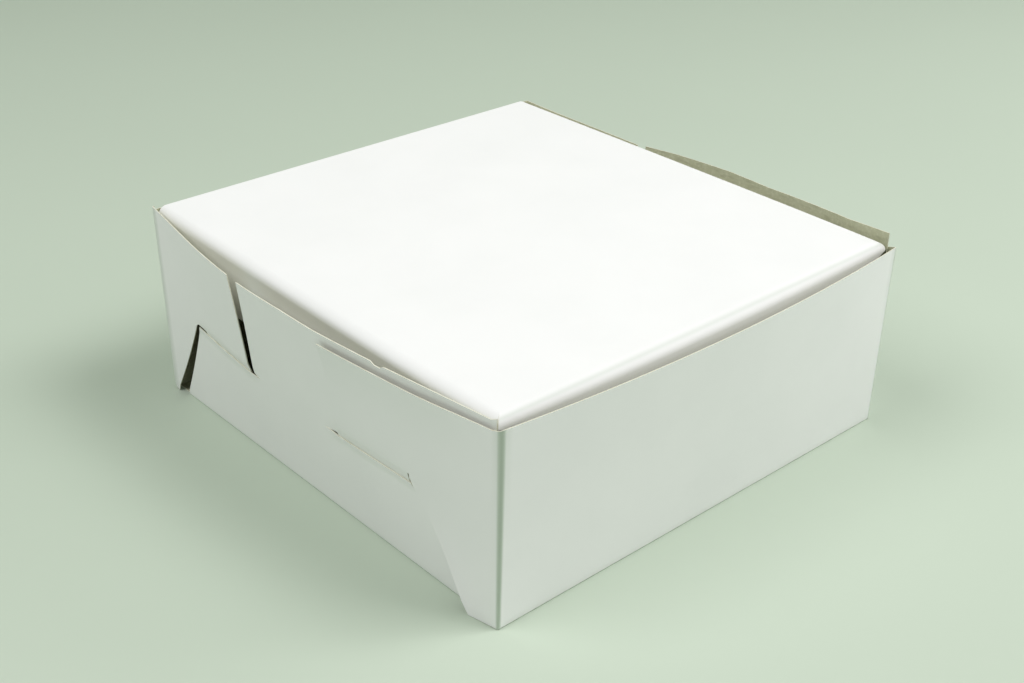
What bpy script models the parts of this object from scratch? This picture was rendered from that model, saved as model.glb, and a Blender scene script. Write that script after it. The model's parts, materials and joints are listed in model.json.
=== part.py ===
"""
Cake box folded from one sheet of coated paperboard, with locked corners and its tuck lid closed.

Metres, +Z up. The front wall faces -Y, the lid is hinged along the top of the rear wall, and the origin is
on the table under the middle of the box. Each panel between two creases is one solid. It starts as its flat
outline, is cut across where it has to bend, is laid on its curved place, and then gets the board's
thickness. The left side is drawn, and the right side is its mirror image with a bulge and a rear corner of its own.

On a side, a point is given by how far it is behind the front corner ("back") and above the table ("up").
At the front lock the ear of the front wall lies outside the side wall above the knife line, and its tongue
is tucked inside below that line. The side wall's lower end passes through the ear's own slit and ends inside
the ear's foot. The rear lock is the same kind, smaller and pulled open.
"""

import math

import bmesh
import bpy
from mathutils import Matrix, Vector

BOX_NAME = "paper_box"

# Board
BOARD = 0.0005
CLEARANCE = 0.0003
FOLD_RADIUS = 0.0012
KNIFE_CUT = 0.0006
SAME_POINT = 0.000001

# The box, between the outer faces of its corners. Each "rise" and "drop" is taken from the front corner's height.
WIDTH = 0.254
DEPTH = 0.266
FRONT_HEIGHT = 0.0990
LEFT_REAR_CORNER_RISE = 0.0064
RIGHT_REAR_CORNER_RISE = 0.0043
LID_REAR_RISE = 0.0055
LID_FRONT_DROP = 0.0038

# How far the walls bulge out, and where
SIDE_BULGE = 0.0115
FRONT_BULGE = 0.0072
FRONT_CORNER_LEAN = 0.0028
FRONT_CORNER_LEAN_LENGTH = 0.060
REAR_BULGE = 0.002
LEFT_BULGE_TO_REAR_SHARE = 0.30
RIGHT_BULGE_TO_REAR_SHARE = -0.30
BULGE_RISE_SHARE = 1.3
BULGE_FLATNESS_SHARE = 2.0

# Spacing of the lines across a sheet where it bends
BEND_PITCH = 0.0125
BEND_LEVEL = 0.0167
FOLD_FACETS = 3

# Side wall
SIDE_RISE = 0.0003
SIDE_REAR_RISE = 0.0014
SIDE_REAR_RISE_START = 0.113
SIDE_REAR_RISE_END = 0.136
SIDE_NICK_FRONT = 0.0660
SIDE_NICK_REAR = 0.0765
SIDE_NICK_DEPTH = 0.0018
SIDE_NICK_SLOPE = 0.0025
SIDE_NECK_BACK = 0.0074
SIDE_NECK_RISE = 0.0013
SIDE_TIP_BACK = 0.0045
SIDE_TIP_RISE = 0.0027
SIDE_CREASE_FRONT = 0.008
SIDE_CREASE_REAR = 0.0124
SIDE_STANDOFF = 0.0012
SIDE_STANDOFF_LENGTH = 0.040
RIGHT_SIDE_REAR_RISE = -0.0003
RIGHT_SIDE_SHOULDER_BACK = 0.150
RIGHT_SIDE_SHOULDER_RISE = 0.0009
RIGHT_SIDE_CREST_BACK = 0.113
RIGHT_SIDE_CREST_RISE = 0.0017
RIGHT_SIDE_DIP_BACK = 0.085
RIGHT_SIDE_DIP_RISE = 0.0012
RIGHT_SIDE_SLOPE_BACK = 0.030
RIGHT_SIDE_SLOPE_RISE = 0.0034
RIGHT_SIDE_TIP_RISE = 0.0061

# Front lock
LOCK_HEIGHT = 0.0460
LOCK_PASSAGE = 0.0045
FRONT_EAR_LENGTH = 0.1075
FRONT_EAR_TIP_DROP = 0.0045
FRONT_EAR_MIDDLE_BACK = 0.050
FRONT_EAR_MIDDLE_DROP = 0.0047
FRONT_EAR_NECK_BACK = 0.005
FRONT_EAR_NECK_DROP = 0.0018
FRONT_SLIT_START = 0.057
FRONT_SLIT_END = 0.118
FRONT_HOOK_HEIGHT = 0.0510
FOOT_LENGTH = 0.0167
FOOT_KNEE_BACK = 0.0223
FOOT_KNEE_HEIGHT = 0.0050
FOOT_FLARE = 0.0037
LIP_TOP_BACK = 0.0545
LIP_TOP_HEIGHT = 0.0455
UPPER_TONGUE_LOW = 0.058
LOWER_TONGUE_SHOULDER_BACK = 0.0585
LOWER_TONGUE_CHEEK_BACK = 0.0535
LOWER_TONGUE_CHEEK_HEIGHT = 0.0415
LOWER_TONGUE_END_BACK = 0.033
LOWER_TONGUE_END_HEIGHT = 0.031
EAR_TONGUE_LOW = 0.006
EAR_TONGUE_CORNER = 0.014

# Rear lock, with each "reach" measured forward from the rear corner
REAR_LINE_REACH = 0.0378
REAR_LINE_HEIGHT = 0.0523
REAR_SLIT_REACH = 0.0950
REAR_SLIT_HEIGHT = 0.0473
REAR_EDGE_TOP_REACH = 0.0935
REAR_EDGE_LOW_REACH = 0.0897
REAR_EDGE_FOOT_HEIGHT = 0.003
LEFT_REAR_EAR_TOP_RISE = 0.0032
RIGHT_REAR_EAR_TOP_RISE = -0.0013
REAR_EAR_TOP_REACH = 0.0870
REAR_EAR_NECK_REACH = 0.0868
REAR_EAR_TONGUE_REACH = 0.0875
REAR_EAR_SLOT_REACH = 0.0450
REAR_EAR_SLOT_TOP = 0.0030
REAR_EAR_LIP_REACH = 0.0355
REAR_EAR_FOOT_REACH = 0.0057
REAR_EAR_FOOT_HEIGHT = 0.0040
REAR_EAR_CORNER_LIFT = 0.0035
REAR_EAR_TONGUE_LOW = 0.010
REAR_EAR_TONGUE_CORNER = 0.010

# Lid
LID_SIDE_INSET = 0.0028
LID_FRONT_INSET = 0.0013
HINGE_GAP = 0.0008
FRONT_FLAP_DEPTH = 0.038
FRONT_FLAP_LEAN = math.radians(5.5)
FRONT_FLAP_TAPER = math.radians(30)
FRONT_FLAP_CORNER = 0.009
FRONT_FLAP_MARGIN = 0.0020
SIDE_FLAP_DEPTH = 0.034
SIDE_FLAP_FRONT_TAPER = math.radians(61)
SIDE_FLAP_REAR_TAPER = math.radians(20)
SIDE_FLAP_CORNER = 0.008
SIDE_FLAP_FRONT_MARGIN = 0.0020
SIDE_FLAP_REAR_MARGIN = 0.004
CORNER_FACETS = 4

# Colours and finish of the coated board
COAT_COLOUR = (0.80, 0.82, 0.78, 1.0)
COAT_ROUGHNESS = 0.55

# Sizes that follow from the ones above
LAYER = BOARD + CLEARANCE
LID_HEIGHT = FRONT_HEIGHT + LID_REAR_RISE
SIDE_HEIGHT = FRONT_HEIGHT + SIDE_RISE
QUARTER_FOLD = FOLD_RADIUS * math.pi / 2
FOLD_END = FOLD_RADIUS - QUARTER_FOLD
SIDE_FACE = -WIDTH / 2 + LAYER + SIDE_STANDOFF
FRAME_SHIFT = (FRONT_CORNER_LEAN + FRONT_BULGE - REAR_BULGE) / 2
FRONT_FACE = -DEPTH / 2 + FRAME_SHIFT
REAR_FACE = DEPTH / 2 + FRAME_SHIFT
HINGE_Y = REAR_FACE - BOARD / 2
HINGE_Z = LID_HEIGHT - BOARD / 2
LID_SIDE = WIDTH / 2 - LID_SIDE_INSET
LID_FRONT = FRONT_FACE + BOARD + LID_FRONT_INSET
LID_UNDERSIDE = LID_HEIGHT - BOARD
LID_FALL = math.asin(LID_FRONT_DROP / (HINGE_Y - LID_FRONT))


def clear_scene():
    """Removes whatever the file holds."""
    for old in list(bpy.data.objects):
        bpy.data.objects.remove(old, do_unlink=True)


def coated_board(name):
    """White coated board, one material for each panel."""
    board = bpy.data.materials.new(name)
    board.use_nodes = True
    shader = board.node_tree.nodes["Principled BSDF"]
    shader.inputs["Base Color"].default_value = COAT_COLOUR
    shader.inputs["Roughness"].default_value = COAT_ROUGHNESS
    shader.inputs["Metallic"].default_value = 0
    board.diffuse_color = COAT_COLOUR
    return board


# Bulges


def side_bulge(back, up, to_rear_share):
    """How far a side stands out of its plane. A share above 0 moves the widest place to the rear."""
    to_front = (back - FOLD_RADIUS) / (DEPTH - 2 * FOLD_RADIUS)
    to_rear = 1 - min(max(to_front, 0), 1)
    phase = to_rear * (1 + to_rear_share * (1 - to_rear))
    rise = max(up, 0) / SIDE_HEIGHT
    return SIDE_BULGE * math.sin(math.pi * phase) * rise**BULGE_RISE_SHARE


def front_lean(back, up):
    """How far a front corner leans forward, most at its top, and how the side beside it follows."""
    near = max(1 - max(back, 0) / FRONT_CORNER_LEAN_LENGTH, 0)
    return FRONT_CORNER_LEAN * near * max(up, 0) / FRONT_HEIGHT


def front_bulge(across, up):
    """How far the front wall stands out, most at the middle of its top edge."""
    from_middle = min(abs(across) / (WIDTH / 2 - FOLD_RADIUS), 1)
    rise = max(up, 0) / FRONT_HEIGHT
    bulge = FRONT_BULGE * (1 - from_middle**BULGE_FLATNESS_SHARE) * rise**BULGE_RISE_SHARE
    return front_lean(0, up) + bulge


def rear_bulge(across, up):
    """How far the rear wall stands out half way up. Its two creases stay straight."""
    from_middle = min(abs(across) / (WIDTH / 2 - FOLD_RADIUS), 1)
    rise = min(max(up / LID_HEIGHT, 0), 1)
    return REAR_BULGE * (1 - from_middle**BULGE_FLATNESS_SHARE) * math.sin(math.pi * rise)


# How the layers of a lock pass each other


def front_line(back):
    """Height of the front lock's knife line."""
    return LOCK_HEIGHT


def rear_line(back):
    """Height of the rear lock's knife line, which falls towards the front."""
    reach = DEPTH - back - REAR_LINE_REACH
    fall = (REAR_LINE_HEIGHT - REAR_SLIT_HEIGHT) / (REAR_SLIT_REACH - REAR_LINE_REACH)
    return REAR_LINE_HEIGHT - fall * reach


def passage(up, line):
    """1 above the knife line's passage, -1 below it, and a straight run between them."""
    return min(max((up - line) / LOCK_PASSAGE, -1), 1)


def lip_back(up):
    """How far back the free edge of the front ear's foot lies at a height."""
    if up < FOOT_KNEE_HEIGHT:
        return FOOT_LENGTH + (FOOT_KNEE_BACK - FOOT_LENGTH) * up / FOOT_KNEE_HEIGHT
    rise = (up - FOOT_KNEE_HEIGHT) / (LIP_TOP_HEIGHT - FOOT_KNEE_HEIGHT)
    return FOOT_KNEE_BACK + (LIP_TOP_BACK - FOOT_KNEE_BACK) * rise


def ramp(value, start, end):
    """0 before start, 1 past end, straight between them."""
    return min(max((value - start) / (end - start), 0), 1)


def side_wall_offset(back, up):
    """The lips of the two knife lines part by one layer, so that an ear can pass between them."""
    reach = DEPTH - back
    if reach < DEPTH / 2:
        line = rear_line(back)
        open_share = 1 - ramp(reach, REAR_EAR_TONGUE_REACH, REAR_SLIT_REACH)
    else:
        line = front_line(back)
        open_share = 1 - ramp(back, FRONT_EAR_LENGTH, FRONT_SLIT_END)
    side = 1 if up < line else -1
    return LAYER * side * open_share * (1 - abs(passage(up, line)))


def standoff(distance):
    """An ear stands a little off the side wall near its corner crease."""
    near = max(1 - distance / SIDE_STANDOFF_LENGTH, 0)
    return SIDE_STANDOFF if distance < FOLD_RADIUS else SIDE_STANDOFF * near**2


def front_ear_offset(back, up):
    """Outside the side wall, but its tongue goes inside below the knife line, and its foot flares out."""
    if back > FRONT_SLIT_START or back > lip_back(up) + KNIFE_CUT / 2:
        return LAYER * passage(up, front_line(back))
    flare = FOOT_FLARE * max(back - FOLD_RADIUS, 0) / (FOOT_LENGTH - FOLD_RADIUS)
    return LAYER + standoff(back) + flare * max(1 - up / LIP_TOP_HEIGHT, 0)


def rear_ear_offset(back, up):
    """Outside the side wall, with the tongue inside below the knife line."""
    reach = DEPTH - back
    if reach > (REAR_EAR_SLOT_REACH + REAR_EAR_LIP_REACH) / 2:
        return LAYER * passage(up, rear_line(back))
    return LAYER + standoff(reach)


# Where a flat sheet is laid


def quarter_turn(past):
    """Steps inward and onward of a point that lies past the start of a quarter fold."""
    angle = min(past / FOLD_RADIUS, math.pi / 2)
    return FOLD_RADIUS * (1 - math.cos(angle)), FOLD_RADIUS * math.sin(angle)


def lay_on_side(offset, to_rear_share, folds_under=False):
    """Lays a sheet on the left side, round the corner creases or under the base where it reaches them."""

    def place(back, up):
        inward, y, z = 0, back, up
        if back < FOLD_RADIUS:
            inward, run = quarter_turn(FOLD_RADIUS - back)
            y = FOLD_RADIUS - run
        elif back > DEPTH - FOLD_RADIUS:
            inward, run = quarter_turn(back - DEPTH + FOLD_RADIUS)
            y = DEPTH - FOLD_RADIUS + run
        if folds_under and up < FOLD_RADIUS:
            inward, run = quarter_turn(FOLD_RADIUS - up)
            z = FOLD_RADIUS - run
        out = offset(back, up) + side_bulge(back, up, to_rear_share)
        return Vector((SIDE_FACE - out + inward, FRONT_FACE + y - front_lean(back, up), z))

    return place


def lay_on_end(face, outward, bulge):
    """Lays a sheet on the front or the rear, with its quarter fold under the base."""

    def place(across, up):
        inward, z = 0, up
        if up < FOLD_RADIUS:
            inward, run = quarter_turn(FOLD_RADIUS - up)
            z = FOLD_RADIUS - run
        return Vector((across, face + outward * (bulge(across, up) - inward), z))

    return place


# Cutting a sheet and giving it its thickness


def lines_between(first, last, pitch):
    """Evenly spaced places strictly between two ends."""
    steps = max(round((last - first) / pitch), 1)
    return [first + (last - first) * step / steps for step in range(1, steps)]


def upright_lines(places):
    """Bend lines that run up a sheet."""
    return [((place, 0), (1, 0)) for place in places]


def level_lines(heights):
    """Bend lines that run along a sheet."""
    return [((0, height), (0, 1)) for height in heights]


def fold_places(start, towards):
    """Bend lines round a quarter fold that starts at a place."""
    return [start + towards * QUARTER_FOLD * step / FOLD_FACETS for step in range(FOLD_FACETS)]


def rear_line_cuts():
    """Bend lines along the sloping knife line of the rear lock and its passage."""
    low = Vector((DEPTH - REAR_SLIT_REACH, REAR_SLIT_HEIGHT))
    high = Vector((DEPTH - REAR_LINE_REACH, REAR_LINE_HEIGHT))
    across = (high - low).orthogonal()
    shifts = (-LOCK_PASSAGE, 0, LOCK_PASSAGE)
    return [((low.x, low.y + shift), (across.x, across.y)) for shift in shifts]


def side_lines():
    """Bend lines that the three sheets of a side share, so that they stay parallel."""
    heights = lines_between(0, LID_HEIGHT, BEND_LEVEL)
    heights += [LOCK_HEIGHT - LOCK_PASSAGE, LOCK_HEIGHT, LOCK_HEIGHT + LOCK_PASSAGE]
    places = lines_between(0, DEPTH, BEND_PITCH)
    places += [FRONT_EAR_LENGTH, FRONT_SLIT_START, DEPTH - REAR_EAR_TONGUE_REACH]
    return upright_lines(places) + level_lines(heights) + rear_line_cuts()


def end_lines():
    """Bend lines of the front and rear walls."""
    places = lines_between(-WIDTH / 2, WIDTH / 2, BEND_PITCH)
    heights = lines_between(0, FRONT_HEIGHT, BEND_LEVEL) + fold_places(FOLD_RADIUS, -1)
    return upright_lines(places) + level_lines(heights)


def flat_sheet(outline, lines):
    """The flat outline, filled, with an edge wherever a bend line crosses it."""
    sheet = bmesh.new()
    corners = [sheet.verts.new((along, up, 0)) for along, up in outline]
    rim = [sheet.edges.new((corners[index - 1], corner)) for index, corner in enumerate(corners)]
    bmesh.ops.edgeloop_fill(sheet, edges=rim)
    for (along, up), (normal_along, normal_up) in lines:
        bmesh.ops.bisect_plane(
            sheet,
            geom=sheet.verts[:] + sheet.edges[:] + sheet.faces[:],
            dist=SAME_POINT,
            plane_co=(along, up, 0),
            plane_no=(normal_along, normal_up, 0),
        )
    return sheet


def turn_outward(sheet, outward):
    """Makes the faces of an open sheet point outward."""
    sheet.normal_update()
    facing = sum((face.normal * face.calc_area() for face in sheet.faces), Vector())
    if facing.dot(outward) < 0:
        bmesh.ops.reverse_faces(sheet, faces=sheet.faces)


def add_panel(name, sheet, parts, origin=None, parent=None):
    """Makes a laid sheet an object with the board's thickness on its inner side."""
    origin = origin or Vector()
    sheet.transform(Matrix.Translation(-origin))
    mesh = bpy.data.meshes.new(name)
    sheet.to_mesh(mesh)
    sheet.free()
    panel = bpy.data.objects.new(name, mesh)
    panel.data.materials.append(coated_board(name))
    panel.parent = parent
    panel.location = origin - (parent.matrix_world.translation if parent else Vector())
    parts.objects.link(panel)
    thickness = panel.modifiers.new("board", "SOLIDIFY")
    thickness.thickness = BOARD
    thickness.offset = -1
    thickness.use_even_offset = True
    thickness.use_quality_normals = True
    return panel


def laid_panel(name, outline, lines, place, outward, parts, mirrored=False):
    """A panel laid by a function of its flat place, or the mirror image of one."""
    sheet = flat_sheet(outline, lines)
    for vert in sheet.verts:
        vert.co = place(vert.co.x, vert.co.y)
    outward = Vector(outward)
    if mirrored:
        sheet.transform(Matrix.Scale(-1, 4, (1, 0, 0)))
        outward.x = -outward.x
    turn_outward(sheet, outward)
    return add_panel(name, sheet, parts)


def rounded(corner, before, after, radius):
    """Points of an arc that replaces a corner between its two neighbours."""
    corner, before, after = Vector(corner), Vector(before), Vector(after)
    to_before = (before - corner).normalized()
    to_after = (after - corner).normalized()
    half = to_before.angle(to_after) / 2
    centre = corner + (to_before + to_after).normalized() * radius / math.sin(half)
    start = corner + to_before * radius / math.tan(half) - centre
    end = corner + to_after * radius / math.tan(half) - centre
    sweep = start.angle(end)
    arc = []
    for step in range(CORNER_FACETS + 1):
        share = step / CORNER_FACETS
        blend = start * math.sin((1 - share) * sweep) + end * math.sin(share * sweep)
        arc.append(tuple(centre + blend / math.sin(sweep)))
    return arc


# Outlines of the panels


def left_top_edge():
    """Top edge of the left wall, from the rear lock forward to the tip behind the front corner."""
    nick_height = SIDE_HEIGHT - SIDE_NICK_DEPTH
    rear_height = FRONT_HEIGHT + SIDE_REAR_RISE
    return [
        (DEPTH - REAR_EDGE_TOP_REACH, rear_height),
        (SIDE_REAR_RISE_END, rear_height),
        (SIDE_REAR_RISE_START, SIDE_HEIGHT),
        (SIDE_NICK_REAR, SIDE_HEIGHT),
        (SIDE_NICK_REAR - SIDE_NICK_SLOPE, nick_height),
        (SIDE_NICK_FRONT + SIDE_NICK_SLOPE, nick_height),
        (SIDE_NICK_FRONT, SIDE_HEIGHT),
        (SIDE_NECK_BACK, FRONT_HEIGHT + SIDE_NECK_RISE),
        (SIDE_TIP_BACK, FRONT_HEIGHT + SIDE_TIP_RISE),
    ]


def right_top_edge():
    """Top edge of the right wall, which stands up at its front end and shows no nick."""
    return [
        (DEPTH - REAR_EDGE_TOP_REACH, FRONT_HEIGHT + RIGHT_SIDE_REAR_RISE),
        (RIGHT_SIDE_SHOULDER_BACK, FRONT_HEIGHT + RIGHT_SIDE_SHOULDER_RISE),
        (RIGHT_SIDE_CREST_BACK, FRONT_HEIGHT + RIGHT_SIDE_CREST_RISE),
        (RIGHT_SIDE_DIP_BACK, FRONT_HEIGHT + RIGHT_SIDE_DIP_RISE),
        (RIGHT_SIDE_SLOPE_BACK, FRONT_HEIGHT + RIGHT_SIDE_SLOPE_RISE),
        (SIDE_TIP_BACK, FRONT_HEIGHT + RIGHT_SIDE_TIP_RISE),
    ]


def side_wall_outline(top_edge):
    """Creased to the base along its foot, forked at the front lock and hooked at the rear lock."""
    half_cut = KNIFE_CUT / 2
    rear_foot = DEPTH - SIDE_CREASE_REAR
    rear_low = (DEPTH - REAR_EDGE_LOW_REACH, REAR_SLIT_HEIGHT + KNIFE_CUT + half_cut)
    rear_tongue = [
        (SIDE_CREASE_FRONT, FOLD_END),
        (rear_foot, FOLD_END),
        (rear_foot, REAR_EDGE_FOOT_HEIGHT),
        (DEPTH - REAR_LINE_REACH, REAR_LINE_HEIGHT - half_cut),
        (DEPTH - REAR_SLIT_REACH, REAR_SLIT_HEIGHT),
        rear_low,
    ]
    front_fork = [
        (SIDE_TIP_BACK, UPPER_TONGUE_LOW),
        (FRONT_SLIT_START, LOCK_HEIGHT + half_cut),
        (FRONT_SLIT_END, LOCK_HEIGHT),
        (LOWER_TONGUE_SHOULDER_BACK, LOCK_HEIGHT - half_cut),
        (LOWER_TONGUE_CHEEK_BACK, LOWER_TONGUE_CHEEK_HEIGHT),
        (LOWER_TONGUE_END_BACK, LOWER_TONGUE_END_HEIGHT),
        (SIDE_CREASE_FRONT, REAR_EDGE_FOOT_HEIGHT),
    ]
    return rear_tongue + top_edge + front_fork


def front_ear_outline():
    """From the corner crease to the free end, with the foot, the slit and the hidden tongue."""
    half_cut = KNIFE_CUT / 2
    tongue_front = (lip_back(EAR_TONGUE_LOW) + KNIFE_CUT + half_cut, EAR_TONGUE_LOW)
    tongue_end = (FRONT_EAR_LENGTH, EAR_TONGUE_LOW)
    free_end = (FRONT_EAR_LENGTH, LOCK_HEIGHT)
    foot = [
        (FOLD_END, CLEARANCE),
        (FOOT_LENGTH, CLEARANCE),
        (FOOT_KNEE_BACK, FOOT_KNEE_HEIGHT),
        (LIP_TOP_BACK, LIP_TOP_HEIGHT),
        (FRONT_SLIT_START - half_cut, LOCK_HEIGHT),
        (FRONT_SLIT_START - half_cut, FRONT_HOOK_HEIGHT),
        (FRONT_SLIT_START + half_cut, FRONT_HOOK_HEIGHT),
        (FRONT_SLIT_START + half_cut, LOCK_HEIGHT - half_cut),
        (LIP_TOP_BACK + KNIFE_CUT + half_cut, LIP_TOP_HEIGHT - half_cut),
        tongue_front,
    ]
    tongue = rounded(tongue_end, tongue_front, free_end, EAR_TONGUE_CORNER)
    top = [
        free_end,
        (FRONT_EAR_LENGTH, FRONT_HEIGHT - FRONT_EAR_TIP_DROP),
        (FRONT_EAR_MIDDLE_BACK, FRONT_HEIGHT - FRONT_EAR_MIDDLE_DROP),
        (FRONT_EAR_NECK_BACK, FRONT_HEIGHT - FRONT_EAR_NECK_DROP),
        (FOLD_END, FRONT_HEIGHT),
    ]
    return foot + tongue + top


def rear_ear_outline(top_rise, corner_rise):
    """From the rear corner crease forward, with a wide slot instead of a slit, because it is pulled open."""
    tongue_low = REAR_EAR_TONGUE_LOW
    tongue_tip = (REAR_EAR_TONGUE_REACH, tongue_low)
    tongue_heel = (REAR_EAR_SLOT_REACH, tongue_low)
    neck = (REAR_EAR_TONGUE_REACH, REAR_SLIT_HEIGHT - KNIFE_CUT)
    slot_top = (REAR_EAR_SLOT_REACH, REAR_LINE_HEIGHT)
    points = [(FOLD_END, REAR_EAR_CORNER_LIFT), (REAR_EAR_FOOT_REACH - FOLD_RADIUS, CLEARANCE)]
    points += [(REAR_EAR_FOOT_REACH, REAR_EAR_FOOT_HEIGHT), (REAR_EAR_LIP_REACH, REAR_LINE_HEIGHT)]
    points += [(REAR_LINE_REACH, REAR_LINE_HEIGHT + REAR_EAR_SLOT_TOP / 2), slot_top]
    points += rounded(tongue_heel, slot_top, tongue_tip, REAR_EAR_TONGUE_CORNER)
    points += rounded(tongue_tip, tongue_heel, neck, REAR_EAR_TONGUE_CORNER)
    points += [neck, (REAR_EAR_NECK_REACH, REAR_SLIT_HEIGHT + LOCK_PASSAGE)]
    points += [(REAR_EAR_TOP_REACH, FRONT_HEIGHT + top_rise), (FOLD_END, FRONT_HEIGHT + corner_rise)]
    return [(DEPTH - reach, up) for reach, up in points]


def end_wall_outline(height):
    """Front or rear wall between its corner folds, with the fold to the base."""
    half = WIDTH / 2 - FOLD_RADIUS - CLEARANCE
    return [(-half, FOLD_END), (half, FOLD_END), (half, height), (-half, height)]


# Sub-assemblies


def add_base(parts):
    """The base panel, inside the folds of the four walls."""
    left = SIDE_FACE + FOLD_RADIUS + CLEARANCE
    front = FRONT_FACE + FOLD_RADIUS + CLEARANCE
    rear = REAR_FACE - FOLD_RADIUS - CLEARANCE
    outline = [(left, front), (-left, front), (-left, rear), (left, rear)]
    sheet = flat_sheet(outline, [])
    turn_outward(sheet, Vector((0, 0, -1)))
    add_panel("base_panel", sheet, parts)


def add_end_walls(parts):
    """The front wall and the rear wall."""
    front = lay_on_end(FRONT_FACE, -1, front_bulge)
    rear = lay_on_end(REAR_FACE, 1, rear_bulge)
    lines = end_lines()
    laid_panel("front_wall", end_wall_outline(FRONT_HEIGHT), lines, front, (0, -1, 0), parts)
    laid_panel("rear_wall", end_wall_outline(HINGE_Z - HINGE_GAP), lines, rear, (0, 1, 0), parts)


def add_side(side, to_rear_share, top_edge, rear_outline, mirrored, parts):
    """One side: the side wall and the two ears that lock into it."""
    lines = side_lines()
    wall_lines = lines + level_lines(fold_places(FOLD_RADIUS, -1))
    front_lines = lines + upright_lines(fold_places(FOLD_RADIUS, -1))
    rear_lines = lines + upright_lines(fold_places(DEPTH - FOLD_RADIUS, 1))
    out = (-1, 0, 0)
    wall = lay_on_side(side_wall_offset, to_rear_share, folds_under=True)
    front_ear = lay_on_side(front_ear_offset, to_rear_share)
    rear_ear = lay_on_side(rear_ear_offset, to_rear_share)
    laid_panel(f"{side}_side_wall", side_wall_outline(top_edge), wall_lines, wall, out, parts, mirrored)
    laid_panel(f"front_{side}_ear", front_ear_outline(), front_lines, front_ear, out, parts, mirrored)
    laid_panel(f"rear_{side}_ear", rear_outline, rear_lines, rear_ear, out, parts, mirrored)


def add_axis(name, place, parts, parent=None):
    """An empty on a joint's axis, which carries what turns about it."""
    axis = bpy.data.objects.new(name, None)
    axis.parent = parent
    axis.location = place - (parent.matrix_world.translation if parent else Vector())
    axis.empty_display_size = LID_HEIGHT
    parts.objects.link(axis)
    bpy.context.view_layer.update()
    return axis


def add_lid_panel(hinge, parts):
    """The lid's flat top, from the hinge crease to the crease of the front flap."""
    rear = HINGE_Y - HINGE_GAP
    outline = [(-LID_SIDE, LID_FRONT), (LID_SIDE, LID_FRONT), (LID_SIDE, rear), (-LID_SIDE, rear)]
    sheet = flat_sheet(outline, [])
    sheet.transform(Matrix.Translation((0, 0, LID_HEIGHT)))
    turn_outward(sheet, Vector((0, 0, 1)))
    add_panel("lid_panel", sheet, parts, hinge.matrix_world.translation.copy(), hinge)


def add_front_flap(hinge, parts):
    """The front tuck flap, leaning in so that its edge clears the front wall as the lid swings up."""
    crease = Vector((0, LID_FRONT + BOARD, LID_UNDERSIDE))
    axis = add_axis("front_flap_crease", crease, parts, hinge)
    half = LID_SIDE - FRONT_FLAP_MARGIN
    inset = FRONT_FLAP_DEPTH * math.tan(FRONT_FLAP_TAPER)
    top, low = -CLEARANCE, -FRONT_FLAP_DEPTH
    left = rounded((inset - half, low), (-half, top), (0, low), FRONT_FLAP_CORNER)
    right = [(-along, up) for along, up in reversed(left)]
    sheet = flat_sheet([(half, top), (-half, top), *left, *right], [])
    turn = Matrix.Rotation(math.pi / 2 + FRONT_FLAP_LEAN, 4, "X")
    sheet.transform(Matrix.Translation(crease) @ turn @ Matrix.Translation((0, 0, BOARD)))
    turn_outward(sheet, Vector((0, -1, 0)))
    add_panel("lid_front_flap", sheet, parts, crease, axis)


def add_side_flap(side, direction, hinge, parts):
    """A side tuck flap, cut back at its front end so that it can fold flat beside the front flap."""
    crease = Vector((direction * (LID_SIDE - BOARD), LID_FRONT, LID_UNDERSIDE))
    axis = add_axis(f"{side}_flap_crease", crease, parts, hinge)
    top, low = -CLEARANCE, -SIDE_FLAP_DEPTH
    front = LID_FRONT + SIDE_FLAP_FRONT_MARGIN
    rear = HINGE_Y - HINGE_GAP - SIDE_FLAP_REAR_MARGIN
    low_front = (front + SIDE_FLAP_DEPTH * math.tan(SIDE_FLAP_FRONT_TAPER), low)
    low_rear = (rear - SIDE_FLAP_DEPTH * math.tan(SIDE_FLAP_REAR_TAPER), low)
    outline = [(rear, top), (front, top)]
    outline += rounded(low_front, (front, top), low_rear, SIDE_FLAP_CORNER)
    outline += rounded(low_rear, low_front, (rear, top), SIDE_FLAP_CORNER)
    sheet = flat_sheet(outline, [])
    for vert in sheet.verts:
        vert.co = Vector((direction * LID_SIDE, vert.co.x, LID_UNDERSIDE + vert.co.y))
    turn_outward(sheet, Vector((direction, 0, 0)))
    add_panel(f"lid_{side}_flap", sheet, parts, crease, axis)


def add_lid(parts):
    """The lid and its three flaps, on the crease at the top of the rear wall."""
    hinge = add_axis("lid_hinge", Vector((0, HINGE_Y, HINGE_Z)), parts)
    add_lid_panel(hinge, parts)
    add_front_flap(hinge, parts)
    add_side_flap("left", -1, hinge, parts)
    add_side_flap("right", 1, hinge, parts)
    hinge.rotation_euler.x = LID_FALL


def main():
    """Builds the box in a collection of its own."""
    clear_scene()
    parts = bpy.data.collections.new(BOX_NAME)
    bpy.context.scene.collection.children.link(parts)
    add_base(parts)
    add_end_walls(parts)
    left_ear = rear_ear_outline(LEFT_REAR_EAR_TOP_RISE, LEFT_REAR_CORNER_RISE)
    right_ear = rear_ear_outline(RIGHT_REAR_EAR_TOP_RISE, RIGHT_REAR_CORNER_RISE)
    add_side("left", LEFT_BULGE_TO_REAR_SHARE, left_top_edge(), left_ear, False, parts)
    add_side("right", RIGHT_BULGE_TO_REAR_SHARE, right_top_edge(), right_ear, True, parts)
    add_lid(parts)


main()
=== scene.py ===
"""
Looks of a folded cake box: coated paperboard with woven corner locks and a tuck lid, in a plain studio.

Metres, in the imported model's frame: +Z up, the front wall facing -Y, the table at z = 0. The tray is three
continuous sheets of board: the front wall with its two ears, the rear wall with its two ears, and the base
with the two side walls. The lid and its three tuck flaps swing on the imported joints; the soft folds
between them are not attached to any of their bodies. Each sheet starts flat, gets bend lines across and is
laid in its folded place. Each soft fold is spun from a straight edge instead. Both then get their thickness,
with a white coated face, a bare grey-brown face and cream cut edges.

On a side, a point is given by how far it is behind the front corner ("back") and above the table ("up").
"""

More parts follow.
